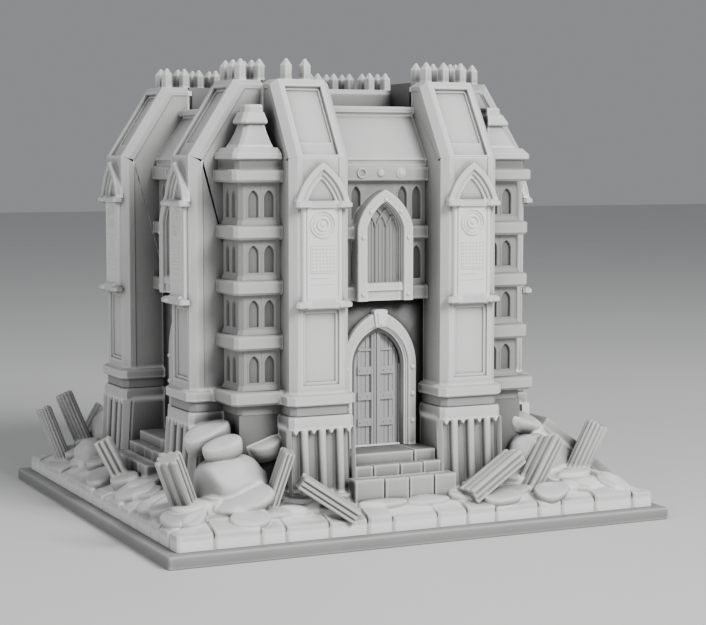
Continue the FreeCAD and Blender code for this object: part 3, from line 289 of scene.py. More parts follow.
class Model:
    """A mesh in the making: closed solids in millimetres, put down through the local frame `at`."""

    def __init__(self, at=None):
        self.mesh = bmesh.new()
        self.at = at or Matrix.Identity(4)

    def loft(self, rings, closed=False):
        """Skin over rings of points, capped unless it closes on itself. Returns its bands of faces."""
        rows = [[self.mesh.verts.new(self.at @ Vector(point)) for point in ring] for ring in rings]
        after = rows[1:] + ([rows[0]] if closed else [])
        bands = []
        for lower, upper in zip(rows, after):
            quads = zip(lower, lower[1:] + lower[:1], upper[1:] + upper[:1], upper)
            bands.append([self.mesh.faces.new(quad) for quad in quads])
        if not closed:
            self.mesh.faces.new(rows[0][::-1])
            self.mesh.faces.new(rows[-1])
        return bands

    def block(self, x_span, y_span, z_span):
        """Box between two values of each coordinate."""
        (x0, x1), (y0, y1) = x_span, y_span
        return self.loft([[(x0, y0, z), (x1, y0, z), (x1, y1, z), (x0, y1, z)] for z in z_span])

    def prism(self, outline, y_span):
        """Outline in x and z, carried along y."""
        return self.loft([[(x, y, z) for x, z in outline] for y in y_span])

    def along(self, outline, x_span):
        """Outline in y and z, carried along x."""
        return self.loft([[(x, y, z) for y, z in outline] for x in x_span])

    def stack(self, plan, levels):
        """Tiers: plan(size) gives the outline in x and y for each (z, size)."""
        return self.loft([[(x, y, z) for x, y in plan(size)] for z, size in levels])

    def sweep(self, curve, section, closed=False):
        """Moulding: curve(o) is the path moved outward by o; section holds (o, y) round the moulding."""
        paths = [[(x, y, z) for x, z in curve(offset)] for offset, y in section]
        return self.loft(zip(*paths), closed)

    def stud(self, x, z, y, radius, height=None, sides=12):
        """Round-headed boss that stands out towards -y."""
        height = height or 0.8 * radius
        levels = [(radius, y + 0.3), (radius, y - 0.35 * height), (0.75 * radius, y - 0.8 * height),
                  (0.3 * radius, y - height)]
        self.loft([[(x + r * cos(t), depth, z + r * sin(t)) for t in turns(sides)]
                   for r, depth in levels])

    def turned(self, x, y, levels, sides=16):
        """Upright turned piece from (z, radius) levels."""
        self.loft([[(x + r * cos(t), y + r * sin(t), z) for t in turns(sides)]
                   for z, r in levels])

    def sink(self, faces, ledge, depth, each=False):
        """Sunk panel: the faces shrink by a ledge and go in by a depth, together or each on its own."""
        bmesh.ops.recalc_face_normals(self.mesh, faces=self.mesh.faces)
        for thickness, rise in ((ledge, 0), (PANEL_WALL, -depth)):
            move = {"faces": faces, "thickness": thickness, "depth": rise, "use_even_offset": True}
            if each:
                bmesh.ops.inset_individual(self.mesh, **move)
            else:
                bmesh.ops.inset_region(self.mesh, **move, use_boundary=True)

    def finish(self, name, paint, bevel, segments=2, body="tower", visual_only=False):
        """Turn the mesh into a piece that rides on a body and stands for the CAD node of its name."""
        bmesh.ops.recalc_face_normals(self.mesh, faces=self.mesh.faces)
        bmesh.ops.scale(self.mesh, vec=(MM, MM, MM), verts=self.mesh.verts)
        for face in self.mesh.faces:
            face.smooth = True
        data = bpy.data.meshes.new(name)
        self.mesh.to_mesh(data)
        self.mesh.free()
        data.materials.append(MATERIALS[paint])
        piece = add_object(name, data)
        if bevel:
            round_edges(piece, bevel, segments)
        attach(piece, body)
        if not visual_only:
            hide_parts(name)


def round_edges(piece, width, segments=2):
    """Bevel the sharp edges of a piece by a width in millimetres."""
    bevel = piece.modifiers.new("edges", "BEVEL")
    bevel.width = width * MM
    bevel.segments = segments
    bevel.limit_method = "ANGLE"
    bevel.angle_limit = radians(28)
    bevel.use_clamp_overlap = True
    bevel.harden_normals = True


def turns(count):
    """Angles of equal steps round a circle."""
    return [2 * pi * step / count for step in range(count)]


def arch(half, spring, peak, foot=None, bow=None, steps=10):
    """Pointed arch on straight jambs, as a function of an outward offset.

    Each arc's centre is level with the springing, or bow gives the arc's rise over its chord.
    """
    rise = peak - spring
    if bow is None:
        centre_x = (rise ** 2 - half ** 2) / (2 * half)
        centre_z = spring
        radius = half + centre_x
    else:
        chord = hypot(half, rise)
        radius = bow / 2 + chord ** 2 / (8 * bow)
        away = radius - bow
        centre_x = -half / 2 + away * rise / chord
        centre_z = (spring + peak) / 2 - away * half / chord

    def curve(offset):
        reach = radius + offset
        start = pi - asin((spring - centre_z) / reach)
        end = acos(-centre_x / reach)
        left = []
        for step in range(steps + 1):
            angle = start + (end - start) * step / steps
            left.append((centre_x + reach * cos(angle), centre_z + reach * sin(angle)))
        right = [(-x, z) for x, z in reversed(left[:-1])]
        if foot is None:
            return left + right
        return [(left[0][0], foot)] + left + right + [(-left[0][0], foot)]

    return curve


def ring(x, z, radius, steps=32):
    """Circle as a function of an outward offset."""
    return lambda offset: [(x + (radius + offset) * cos(t), z + (radius + offset) * sin(t))
                           for t in turns(steps)]


def cushion(half_x, half_y, corner, x=0, y=0):
    """Plan of a rectangle with cut corners, grown by a size."""
    def plan(size):
        a, b = half_x + size, half_y + size
        return [(x + a, y - b + corner), (x + a, y + b - corner), (x + a - corner, y + b),
                (x - a + corner, y + b), (x - a, y + b - corner), (x - a, y - b + corner),
                (x - a + corner, y - b), (x + a - corner, y - b)]
    return plan


def pierce(model, cell, opening, y_span):
    """Plate with a pointed opening: cell is (x0, x1, z0, z1), opening (x, half, foot, spring, peak)."""
    x0, x1, z0, z1 = cell
    x, half, foot, spring, peak = opening
    steps = 6
    path = [(x + dx, z) for dx, z in arch(half, spring, peak, foot, steps=steps)(0)]
    shares = [2 * step / steps for step in range(steps + 1)]
    climb = [(max(0, share - 1), spring + (z1 - spring) * min(1, share)) for share in shares]
    left = [(x0 + (x - x0) * over, z) for over, z in climb]
    right = [(x1 + (x - x1) * over, z) for over, z in climb[-2::-1]]
    rim = [(x0, z0), *left, *right, (x1, z0)]
    front, back = y_span
    loops = [(rim, front), (path, front), (path, back), (rim, back)]
    model.loft([[(px, y, pz) for px, pz in loop] for loop, y in loops], closed=True)


def niche(model, cell, opening, y_span, proud):
    """Pierced plate with a thin rim round its opening, which stands proud of the plate's face."""
    x, half, foot, spring, peak = opening
    pierce(model, cell, opening, y_span)
    rim = arch(half, spring, peak, foot, steps=5)
    face = y_span[0]

    def curve(offset):
        return [(x + dx, z) for dx, z in rim(offset)]

    model.sweep(curve, [(0.75, face + 0.2), (0.75, face - proud), (0.15, face - proud), (0, face + 0.2)])


def mirrored(left):
    """Outline that carries on from its left half with the mirror image of that."""
    return left + [(-x, other) for x, other in reversed(left)]


def height_at(x, outline, otherwise):
    """Height of an outline of (x, z) points above a place across it."""
    for (x0, z0), (x1, z1) in zip(outline, outline[1:]):
        if x0 <= x <= x1:
            return z0 + (z1 - z0) * (x - x0) / max(x1 - x0, 1e-6)
    return otherwise


# ---- buttresses

RING_REACH = 2.0
KNEE = 137.1
SLOPE_RUN = 17.5


def fin_places():
    """Name, side, sideways place, outer face and half width of each buttress shaft."""
    for side in SIDES:
        for hand in HANDS:
            low, high = seen_from(side, f"buttress_{side}_{hand}")
            middle, half = (low.x + high.x) / 2, (high.x - low.x) / 2
            yield f"{side}_{hand}", side, middle, -low.y - RING_REACH, half - RING_REACH


def make_buttress(name, side, sideways, reach, half):
    """Shaft with bevelled edges, raised borders, a sloped head with a sunk panel and a base ring."""
    node = f"buttress_{name}"
    low, high = seen_from(side, node)
    depth, top, foot = high.y + reach + 1, high.z, low.z
    ring_low, ring_high = foot + 3.5, foot + 7.8
    edge, border, proud = 2.4, 4.6, 0.3
    panel = (55.8, 82.7)
    lean = Vector((SLOPE_RUN, top - KNEE)).normalized()

    def on_slope(distance, inward):
        """Point in y and z at a distance up the slope, moved in from its surface."""
        return (lean.x * distance + lean.y * inward, KNEE + lean.y * distance - lean.x * inward)

    length = hypot(SLOPE_RUN, top - KNEE)
    head = (0.4, 5.8, length - 2.8)

    def profile(inward):
        """Side outline from the foot up the face and the slope to the top and the back."""
        bend = inward * tan((pi / 2 - atan2(lean.y, lean.x)) / 2)
        crest = on_slope(length, inward)
        top_z = top - 0.7 * inward
        shift = (top_z - crest[1]) * lean.x / lean.y
        face = [(inward, z) for z in (foot, *panel, KNEE - bend)]
        slope = [on_slope(distance, inward) for distance in head]
        return face + slope + [(crest[0] + shift, top_z), (depth, top_z), (depth, foot)]

    panel_half = 7.1
    rim = half + proud
    stations = mirrored([(-half, border + proud), (-rim, border), (-rim, edge), (-rim + edge, 0),
                         (-panel_half, 0)])
    model = Model(place(side, reach, sideways))
    bands = model.loft([[(x, y, z) for y, z in profile(inward)] for x, inward in stations])
    _, panel_face, upper_face, _, slope_foot, slope_face = bands[4][:6]
    model.sink([panel_face], 0.02, 0.7)
    model.sink([panel_face], 1.1, 0.6)
    model.sink([upper_face], 0.02, 0.3)
    model.sink([slope_foot, slope_face], 0.02, 1.5)
    model.sink([slope_face], 0.7, 0.7)
    outline = cushion(half, depth / 2, 2.2, 0, depth / 2)

    def plan(size):
        return [(x, min(y, depth)) for x, y in outline(size)]

    model.stack(plan, [(foot - 0.2, -0.8), (ring_low, -0.8)])
    model.stack(plan, [(ring_low, RING_REACH - 0.5), (ring_low + 0.5, RING_REACH),
                       (ring_high - 0.9, RING_REACH), (ring_high, RING_REACH - 1.3)])
    model.finish(node, "resin_tower", bevel=0.45, segments=3)


def make_necks():
    """Band round each buttress and turret between its base ring and its plinth, painted dark as the shade
    under the ring.
    """
    model = Model()
    tall, wider, turret_size = 3.6, 0.45, 16.4
    for name, side, sideways, reach, half in fin_places():
        low, high = seen_from(side, f"buttress_{name}")
        model.at = place(side, reach, sideways)
        depth = high.y + reach
        plan = cushion(half, depth / 2, 2.0, 0, depth / 2)
        model.stack(plan, [(low.z - 0.1, wider), (low.z + tall, wider)])
    for side in SIDES:
        foot = span(f"turret_{TURRETS[side]}")[0].z
        model.at = turret_place(side)[0]
        model.stack(turret_plan, [(foot - 0.1, turret_size), (foot + tall, turret_size)])
    model.finish("resin_necks", "resin_neck_painted_shade", bevel=0.2, visual_only=True)


def make_plinths():
    """Flared blocks under the buttresses; deep grooves with notched tops leave rounded ribs between."""
    low, high = span("buttress_plinths")
    ground, top = low.z, high.z
    groove_depth, groove_foot, groove_head = 3.0, ground - 0.5, 40.3
    pitch, groove, notch = 6.9, 3.8, 1.15
    wider, corner = 1.45, 1.6
    rib_depth = groove_depth + 0.3
    centres = [-1.5 * pitch, -0.5 * pitch, 0.5 * pitch, 1.5 * pitch]
    half_turn = [pi * step / 10 for step in range(11)]

    def front_at(z):
        return -1.2 - 2.2 * (top - z) / (top - ground)

    model = Model()
    for name, side, sideways, reach, half in fin_places():
        back = seen_from(side, f"buttress_{name}")[1].y + reach
        model.at = place(side, reach, sideways)

        def ring_at(z, inset, setback):
            side_x, front = half + wider - inset, front_at(z) + setback
            return [(side_x, back, z), (-side_x, back, z), (-side_x, front + corner, z),
                    (-side_x + corner, front, z), (side_x - corner, front, z), (side_x, front + corner, z)]

        model.loft([ring_at(ground, 0.2, groove_depth), ring_at(groove_head + 1, 0.2, groove_depth)])
        model.loft([ring_at(groove_head, 0, 0.1), ring_at(groove_head + 1.5, 0, 0),
                    ring_at(top - 1.3, 0, 0), ring_at(top - 0.4, 0.4, 0.4), ring_at(top, 1.5, 1.5)])

        lefts = [-half - wider] + [centre + groove / 2 for centre in centres]
        rights = [centre - groove / 2 for centre in centres] + [half + wider]
        for left, right in zip(lefts, rights):
            middle, wide = (left + right) / 2, (right - left) / 2
            model.loft([[(middle + wide * cos(t), front_at(z) + rib_depth - rib_depth * sin(t) ** 0.4, z)
                         for t in half_turn] for z in (groove_foot, groove_head + 0.4)])
        front = front_at(groove_head)
        for centre in centres:
            outline = [(centre - notch, groove_head + 0.3), (centre, groove_head - 1.6),
                       (centre + notch, groove_head + 0.3)]
            model.prism(outline, (front + 0.25, front + groove_depth))
    model.finish("buttress_plinths", "resin_tower", bevel=0.3)


def capital(model, x, levels_z, proud):
    """Small eight-sided capital, narrower above and below."""
    z0, z1 = levels_z
    rise = z1 - z0
    model.stack(cushion(2.0, 1.2, 0.9, x, -proud + 1.2),
                [(z0, -0.7), (z0 + 0.25 * rise, 0.8), (z0 + 0.7 * rise, 0.8), (z1, -0.1)])


def make_plaques():
    """Gabled plaques: mouldings, lintel, colonnettes, ringed boss, dotted tablet and sill."""
    model = Model()
    foot, peak, bow = 120.8, 134.9, 1.7
    tablet_half, tablet_foot, tablet_top = 5.9, 86.5, 118.8
    column, boss, pitch = 8, 113.0, 1.35
    columns = [-4.7 + pitch * step for step in range(8)]
    rows = [95.8 + 1.27 * step for step in range(9)]
    pitted = []
    for _, side, sideways, reach, _ in fin_places():
        model.at = place(side, reach, sideways)
        gable = arch(10.4, foot, peak, bow=bow, steps=8)
        model.sweep(gable, [(0, 0.4), (0, -1.9), (-0.35, -2.4), (-2.1, -2.4), (-2.4, -1.9), (-2.4, -1.5),
                            (-3.5, -1.5), (-3.8, -1.1), (-3.8, -0.6), (-4.5, -0.6), (-4.8, -0.3),
                            (-4.8, 0.4)])
        for x in (-column, column):
            capital(model, x, (118.5, 121.3), 3.0)
            capital(model, x, (83.2, 86.0), 3.0)
            model.turned(x * 0.86, -0.5, [(tablet_foot - 1, 0.85), (tablet_top + 0.4, 0.85)], 12)
        model.along([(0.3, tablet_top), (-2.2, tablet_top), (-2.4, tablet_top + 0.5), (-2.4, 120.6),
                     (-1.4, 121.4), (0.3, 121.4)], (-6, 6))
        model.block((-7.8, 7.8), (-0.6, 0.3), (tablet_foot - 1.5, tablet_top + 0.5))
        model.block((-tablet_half, tablet_half), (-1.2, 0.3), (tablet_foot - 0.5, tablet_top))
        sill = mirrored([(-5.6, 86.9), (-7.2, 85.4), (-7.2, 84.4), (-6.2, 83.1)])
        model.loft([[(x, y, z) for x, z in sill] for y in (0.3, -1.9)]
                   + [[(x * 0.9, -2.7, 84.9 + (z - 84.9) * 0.7) for x, z in sill]])
        for radius, wide, proud in ((4.9, 0.55, 1.75), (3.75, 0.4, 1.6), (2.4, 0.5, 1.8)):
            section = [(0, -1.1), (-0.1, -proud), (-wide + 0.1, -proud), (-wide, -1.1)]
            model.sweep(ring(0, boss, radius), section, closed=True)
        model.stud(0, boss, -1.1, 1.1, 0.7)
        bands = model.along([(-1.0, rows[0]), *[(-1.5, z) for z in rows], (-1.0, rows[-1])], columns)
        pitted += [face for band in bands for face in band[1:len(rows)]]
        model.block((-4.6, 2.6), (-1.45, -1.1), (94.0, 94.5))
        for step in range(7):
            x = -4.6 + pitch * step
            model.block((x, x + 0.85), (-1.42, -1.1), (91.7, 92.15))
    model.sink(pitted, 0.4, 0.7, each=True)
    model.finish("buttress_plaques", "resin_tower", bevel=0.16)


# ---- corner turrets

TURRET_CORNER = 1.4


def turret_plan(size, gap=0):
    """Square between two buttresses with its outer corner cut, stood off from them by a gap."""
    flat = size - TURRET_CORNER
    return [(gap, -gap), (gap, -size), (flat, -size), (size, -flat), (size, -gap)]


def turret_place(side):
    """Frame where a turret meets its two buttresses, and the size of the turret's base ring."""
    low, high = seen_from(side, f"turret_{TURRETS[side]}")
    return place(side, -high.y, low.x), high.x - low.x


def make_turret(side):
    """Four storeys with paired niches between bands, on a base ring."""
    node = f"turret_{TURRETS[side]}"
    model, mouldings = Model(), Model()
    corner_frame, ring_size = turret_place(side)
    model.at = mouldings.at = corner_frame
    low, high = span(node)
    body, recess = 15.6, 0.9
    band, crown, neck = 18.5, 19.3, 17.5
    levels = [(48.8, 53.9), (68.3, 73.8), (87.9, 93.2), (107.5, 112.7), (127.7, 132.4)]
    ring_foot, (crown_foot, crown_top) = levels[0][0], levels[-1]
    model.stack(turret_plan, [(low.z - 0.2, body + 0.5), (ring_foot, body + 0.5)])
    model.stack(turret_plan, [(ring_foot, body - recess), (crown_foot + 0.5, body - recess)])
    for (z0, z1), size in zip(levels, (ring_size, band, band, band, crown)):
        mouldings.stack(turret_plan, [(z0, size - 0.9), (z0 + 0.9, size),
                                      (z1 - 0.6, size), (z1, size - 0.9)])
    model.stack(turret_plan, [(crown_top - 0.2, neck), (high.z + 0.2, neck)])
    flat = body - TURRET_CORNER
    post = [(flat, -body), (body, -flat), (body - recess - 0.2, -flat), (flat, -body + recess + 0.2)]
    for (_, floor), (head, _) in zip(levels, levels[1:]):
        model.at = corner_frame
        model.loft([[(x, y, z) for x, y in post] for z in (floor - 0.2, head + 0.2)])
        model.stack(turret_plan, [(floor - 0.1, body + 0.8), (floor + 0.4, body + 0.7),
                                  (floor + 2.0, body - 0.1)])
        foot = floor + 2.6
        for turn, sign in ((0, 1), (90, -1)):
            model.at = corner_frame @ Matrix.Rotation(radians(turn), 4, "Z")
            for cell, x in (((0, 7.3), 4.2), ((7.3, flat), 10.2)):
                lower, upper = sorted((sign * cell[0], sign * cell[1]))
                niche(model, (lower, upper, floor - 0.2, head + 0.2),
                      (sign * x, 1.85, foot, foot + 6.6, foot + 9.6), (-body, -body + recess + 0.1), 0.2)
    # Painted shade: the set-back walls take a dark grey and the bands a mid grey.
    model.finish(node, "resin_recess_painted_shade", bevel=0.22)
    mouldings.finish(f"{node}_bands", "resin_shade", bevel=0.22, visual_only=True)


def make_turret_roof(side):
    """Flared skirt, steep tier, small flared tier and a cap block."""
    node = f"turret_roof_{TURRETS[side]}"
    model = Model(turret_place(side)[0])
    low, high = span(node)
    tall = high.z - low.z
    tiers = [
        [(0, 18.2, 0.4), (0.4, 18.9, 0.3), (2.0, 18.9, 0.3), (4.3, 17.0, 1.2)],
        [(4.2, 15.5, 2.2), (6.4, 14.1, 2.8), (9.5, 12.5, 3.5), (12.7, 11.4, 4.1)],
        [(12.5, 12.4, 3.7), (13.1, 13.1, 3.5), (13.8, 13.1, 3.5), (16.9, 11.5, 4.2)],
        [(16.7, 10.7, 4.4), (tall - 0.5, 10.7, 4.4), (tall, 10.2, 4.8)],
    ]
    for tier in tiers:
        model.loft([[(x, y, low.z + rise) for x, y in turret_plan(size, gap)] for rise, size, gap in tier])
    model.finish(node, "resin_tower", bevel=0.35)


# ---- upper storey between the buttresses

def make_arcade(side):
    """Wall with rows of niches between three cornices; round bosses on the top one."""
    node = f"arcade_{side}"
    low, high = seen_from(side, node)
    half = (high.x - low.x) / 2
    model, mouldings = Model(place(side, bay_reach(side))), Model(place(side, bay_reach(side)))
    reach, face, back = 4.0, -1.3, -0.3
    cornices = [(84.3, 89.7), (106.7, 111.7), (127.9, 133.5)]
    model.block((-half, half), (back, high.y + bay_reach(side)), (low.z, high.z))
    behind_frame = 9.5
    beside_frame = [(-half, -behind_frame), (behind_frame, half)]
    for (z0, z1), runs in zip(cornices, (beside_frame, beside_frame, [(-half, half)])):
        section = [(1, z0), (-reach + 0.5, z0), (-reach, z0 + 0.5), (-reach, z1 - 0.6),
                   (-reach + 0.8, z1), (1, z1)]
        for run in runs:
            mouldings.along(section, run)
    pitch = 5.9
    centres = [9.5 + pitch * step for step in range(int((half - 6.4) / pitch))]
    cells = [6.55] + [x + pitch / 2 for x in centres[:-1]] + [half]
    for (_, floor), (head, _) in zip(cornices, cornices[1:]):
        foot = floor + 2.2
        for sign in (-1, 1):
            for x, near, far in zip(centres, cells, cells[1:]):
                lower, upper = sorted((sign * near, sign * far))
                niche(model, (lower, upper, floor - 0.2, head + 0.2),
                      (sign * x, 1.75, foot, foot + 8.8, foot + 12.2), (face, back + 0.1), 0.22)
        model.block((-6.8, 6.8), (face, back + 0.1), (floor - 0.2, head + 0.2))
    boss = 130.9
    section = [(0, -reach + 0.2), (-0.15, -reach - 0.7), (-0.65, -reach - 0.7), (-0.8, -reach + 0.2)]
    mouldings.sweep(ring(-8.4, boss, 2.0), section, closed=True)
    mouldings.stud(-0.7, boss, -reach, 1.4, 0.9, 20)
    mouldings.stud(7.5, boss, -reach, 2.1, 0.8, 24)
    mouldings.stud(7.5, boss, -reach - 0.6, 1.3, 0.5, 20)
    # Painted shade: the recessed wall and niches take a dark grey and the cornices a mid grey.
    model.finish(node, "resin_recess_painted_shade", bevel=0.25)
    mouldings.finish(f"{node}_cornices", "resin_shade", bevel=0.25, visual_only=True)


def make_window(side):
    """Pointed frame with studs, stepped reveal, reeded light with crossing tracery, and a sill."""
    node = f"window_{side}"
    low, high = seen_from(side, node)
    half, bottom, peak = (high.x - low.x) / 2, low.z, high.z
    spring, band = 110.0, 3.8
    front = low.y + bay_reach(side)
    model, light = Model(bay_place(side, node)), Model(bay_place(side, node))
    outer = arch(half, spring + 1.2, peak, bottom, bow=2.1, steps=14)
    reveal = [(-band - shift, front + depth) for shift, depth in
              ((0, 1.5), (0.3, 1.5), (0.3, 2.8), (0.6, 2.8), (0.6, 4.1), (0.9, 4.1))]
    model.sweep(outer, [(0, 0), (0, front + 0.4), (-0.4, front), (-band + 0.2, front),
                        (-band, front + 0.3), *reveal, (-band - 0.9, 0)])
    light_half = half - band - 0.9
    pane = front + 4.4
    sill_top = 90.9
    opening = [(x, max(z, sill_top)) for x, z in outer(-band - 0.8)]
    light.prism(opening, (pane, pane + 0.8))

    def arch_over(x):
        return height_at(x, opening[1:], spring)

    reeds = 9
    for step in range(1, reeds):
        x = light_half * (2 * step / reeds - 1)
        mullion = step % 3 == 0
        reed, reed_top = (0.6, spring + 2) if mullion else (0.36, min(arch_over(x), spring + 4) - 0.2)
        light.turned(x, pane - 0.1 * mullion, [(sill_top - 0.4, reed), (reed_top, reed)], 10)
    rising = [(x, z) for x, z in opening if x <= 0 and z >= spring + 1]
    for shift in (2 * light_half / 3, 4 * light_half / 3):
        moved = [(x + shift, z) for x, z in rising if x + shift < light_half]
        under = [(x, z) for x, z in moved if z < arch_over(x) + 0.3]
        for sign in (-1, 1):
            light.loft([[(sign * (x + 0.5 * cos(t)), pane - 0.3 + 0.6 * sin(t), z) for t in turns(8)]
                        for x, z in under])
    sill_half = half - band + 0.1
    model.along([(pane + 0.8, 88.0), (front + 1.0, 88.0), (front + 1.0, 90.3), (front + 1.7, sill_top),
                 (pane + 0.8, sill_top)], (-sill_half, sill_half))
    model.block((-sill_half, sill_half), (front + 1.9, 0), (bottom, 88.1))
    model.stud(0, 121.3, front, 0.85, 0.7)
    for x, z in ((6.1, 116.9), (9.2, 107.5), (9.2, 86.8)):
        for sign in (-1, 1):
            model.stud(sign * x, z, front, 0.85, 0.7)
    model.finish(node, "resin_trim", bevel=0.14)
    # Painted shade: the light, set deep in the reveal, takes a dark grey.
    light.finish(f"{node}_light", "resin_recess_painted_shade", bevel=0.1, visual_only=True)


def make_bay_roof(side):
    """Steep roof over the bay with a fascia below it and a capping above."""
    node = f"bay_roof_{side}"
    low, high = seen_from(side, node)
    half, reach = (high.x - low.x) / 2, bay_reach(side)
    eave, head, back = low.y + reach, 9.0, high.y + reach
    foot, slope_top, cap = 135.9, 152.0, high.z - 2.6
    model = Model(bay_place(side, node))
    model.along([(eave + 0.4, low.z - 0.1), (eave + 0.4, foot - 0.5), (eave, foot - 0.2), (eave, foot),
                 (head, slope_top), (head, cap + 0.3), (back, cap + 0.3), (back, low.z - 0.1)],
                (-half, half))
    model.along([(head - 0.9, cap), (head - 1.5, cap + 0.5), (head - 1.5, high.z - 0.4),
                 (head - 1.1, high.z), (back, high.z), (back, cap)], (-half, half))
    model.finish(node, "resin_tower", bevel=0.25)


def make_lid():
    """Lift-off roof block: a thick slab with rounded edges over a plug that fills the hatch."""
    low, high = span("roof_lid")
    middle, half = split_box((low, high))
    rest = low.z + 5
    model = Model(Matrix.Translation((middle.x, middle.y, 0)))
    slab, plug = cushion(half.x, half.y, 1.2), cushion(half.x, half.y, 0.8)
    model.stack(slab, [(rest, -0.3), (rest + 0.4, 0), (high.z - 1.6, 0), (high.z, -1.6)])
    model.stack(plug, [(low.z, -2.0), (low.z + 0.5, -1.7), (rest + 0.5, -1.7)])
    model.finish("roof_lid", "resin_tower", bevel=0.6, segments=3, body="roof_lid")


def make_spikes():
    """Six-sided spikes with pointed heads, each where the CAD has one."""
    model = Model()
    point, tip = 2.6, 0.4
    for low, high in islands("roof_spikes"):
        middle, half = split_box((low, high))
        model.turned(middle.x, middle.y,
                     [(low.z - 0.3, half.x), (high.z - point, half.x), (high.z - 0.2, tip)], 6)
    model.finish("roof_spikes", "resin_tower", bevel=0.18)


def islands(node):
    """Box of each separate solid in a CAD node, in millimetres."""
    return [(Vector(map(min, *points)), Vector(map(max, *points))) for points, _ in solids_of(node)]


def solids_of(node):
    """Corner points and creases of each separate solid in a CAD node, in millimetres.

    A node's faces come solid after solid, so a solid is whole where no edge is left with one face only.
    """
    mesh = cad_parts[node].data
    corners = [tuple(round(c / MM, 4) for c in vertex.co) for vertex in mesh.vertices]
    found, points, creases, half_open = [], set(), [], {}
    for face in mesh.polygons:
        ring_of = [corners[index] for index in face.vertices]
        points.update(ring_of)
        for start, end in zip(ring_of, ring_of[1:] + ring_of[:1]):
            edge = frozenset((start, end))
            if edge not in half_open:
                half_open[edge] = face.normal.copy()
            elif half_open.pop(edge).angle(face.normal, 0) > 0.1:
                creases.append(Vector(end) - Vector(start))
        if not half_open:
            found.append(([Vector(point) for point in points], creases))
            points, creases = set(), []
    return found


# ---- doors and steps

DOOR_SPRING = 60.0
HINGE_X = 11.3
HINGE_Y = 2.9


def make_door_frame(side):
    """Stepped arch round the doorway with a keystone, studs, a threshold and the hinge pins' lugs."""
    node = f"door_frame_{side}"
    low, high = seen_from(side, node)
    half, foot = (high.x - low.x) / 2, low.z
    model = Model(bay_place(side, node))
    face_width = 3.4
    outer = arch(half, DOOR_SPRING, 80.2, foot, steps=14)
    inner = arch(half - face_width, DOOR_SPRING, 75.0, foot, steps=14)

    def curve(offset):
        """Between the two arches across the face, then along the inner one."""
        if offset <= -face_width:
            return inner(offset + face_width)
        share = -offset / face_width
        return [(x0 + (x1 - x0) * share, z0 + (z1 - z0) * share)
                for (x0, z0), (x1, z1) in zip(outer(0), inner(0))]

    model.sweep(curve, [(0, 1.8), (0, -1.7), (-0.3, -2.1), (-3.1, -2.1), (-3.4, -1.8), (-3.4, -1.2),
                        (-3.9, -1.2), (-3.9, -0.6), (-4.5, -0.6), (-4.5, 0.1), (-5.0, 0.1), (-5.0, 0.8),
                        (-5.6, 0.8), (-5.6, 1.9)])
    keystone = [(-1.9, 74.4), (1.9, 74.4), (2.8, 80.2), (1.9, 80.8), (-1.9, 80.8), (-2.8, 80.2)]
    model.prism(keystone, (-2.9, 0.5))
    model.prism([(-1.0, 75.0), (1.0, 75.0), (1.5, 79.7), (-1.5, 79.7)], (-3.3, -2.6))
    for z in (39, 49, 59):
        for x in (-13.5, 13.5):
            model.stud(x, z, -2.1, 0.95, 0.9)
    for hand in HANDS.values():
        model.turned(hand * HINGE_X, HINGE_Y, [(61.2, 1.2), (63.4, 1.2)], 16)
    model.block((-9.6, 9.6), (0.3, 1.8), (foot - 0.1, foot + 0.6))
    model.finish(node, "resin_trim", bevel=0.16)


def make_door_backing(side):
    """Wall of the bay below the arcade, which fills the square doorway round the pointed one."""
    node = f"door_frame_{side}"
    foot = seen_from(side, node)[0].z
    top = seen_from(side, f"arcade_{side}")[0].z + 0.5
    half = 0.4 + min(abs(sideways) - fin_half
                     for _, fin_side, sideways, _, fin_half in fin_places() if fin_side == side)
    model = Model(bay_place(side, node))
    pierce(model, (-half, half, foot, top), (0, 9.6, foot, DOOR_SPRING, 72.4), (-0.06, 1.9))
    # Painted shade: the bay wall takes a dark grey.
    model.finish(f"door_backing_{side}", "resin_wall_painted_shade", bevel=0, visual_only=True)


def make_leaf(side, hand):
    """Door leaf of upright planks with level straps, a meeting stile and a hinge barrel."""
    node = f"door_leaf_{side}_{hand}"
    sign = HANDS[hand]
    low, high = seen_from(side, node)
    front, back = 2.1, 3.8
    meet, edge = 0.15, 9.9
    model = Model(place(side, bay_reach(side)))
    curve = arch(10.4, DOOR_SPRING, high.z, steps=24)(0)

    def board(x0, x1, y0, y1, drop=0.0):
        """Upright board that ends a drop below the leaf's arch."""
        top = [(x, height_at(-x, curve, DOOR_SPRING) - drop) for x in (x0, (x0 + x1) / 2, x1)]
        model.prism([(sign * x, z) for x, z in [(x0, low.z), *top, (x1, low.z)]], (y0, y1))

    board(meet, edge, front + 0.6, back, drop=0.1)
    seams = (meet, 2.2, 3.9, 5.6, 7.3, 8.6, edge)
    for index, (x0, x1) in enumerate(zip(seams, seams[1:])):
        board(x0 + 0.09, x1 - 0.09, front + 0.12 * (index % 3), back - 0.3)
    board(meet, meet + 1.7, front - 0.85, front + 0.5, drop=0.2)
    board(meet, meet + 0.75, front - 1.2, front, drop=0.6)

    def strap(z, tall, thick, reach):
        """Level strap from the meeting stile towards the hinge."""
        xs = sorted((sign * (meet + 1.2), sign * reach))
        model.block(xs, (front - thick, front + 0.4), (z - tall / 2, z + tall / 2))

    for z in (38.6, 48.3, 57.9):
        strap(z, 2.9, 0.7, 7.4)
        for x in (3.3, 6.4):
            model.stud(sign * x, z, front - 0.7, 0.42, 0.3, 8)
    strap(65.6, 0.8, 0.5, 7.0)
    for z0, z1 in ((30.3, 39.8), (40.2, 50.6), (51.0, 60.8)):
        model.turned(sign * HINGE_X, HINGE_Y, [(z0, 0.86), (z1, 0.86)], 14)
    plate = sorted((sign * (edge - 0.5), sign * (HINGE_X - 0.5)))
    model.block(plate, (HINGE_Y - 0.5, HINGE_Y + 0.5), (30.3, 60.8))
    model.finish(node, "resin_door", bevel=0.1, body=node)


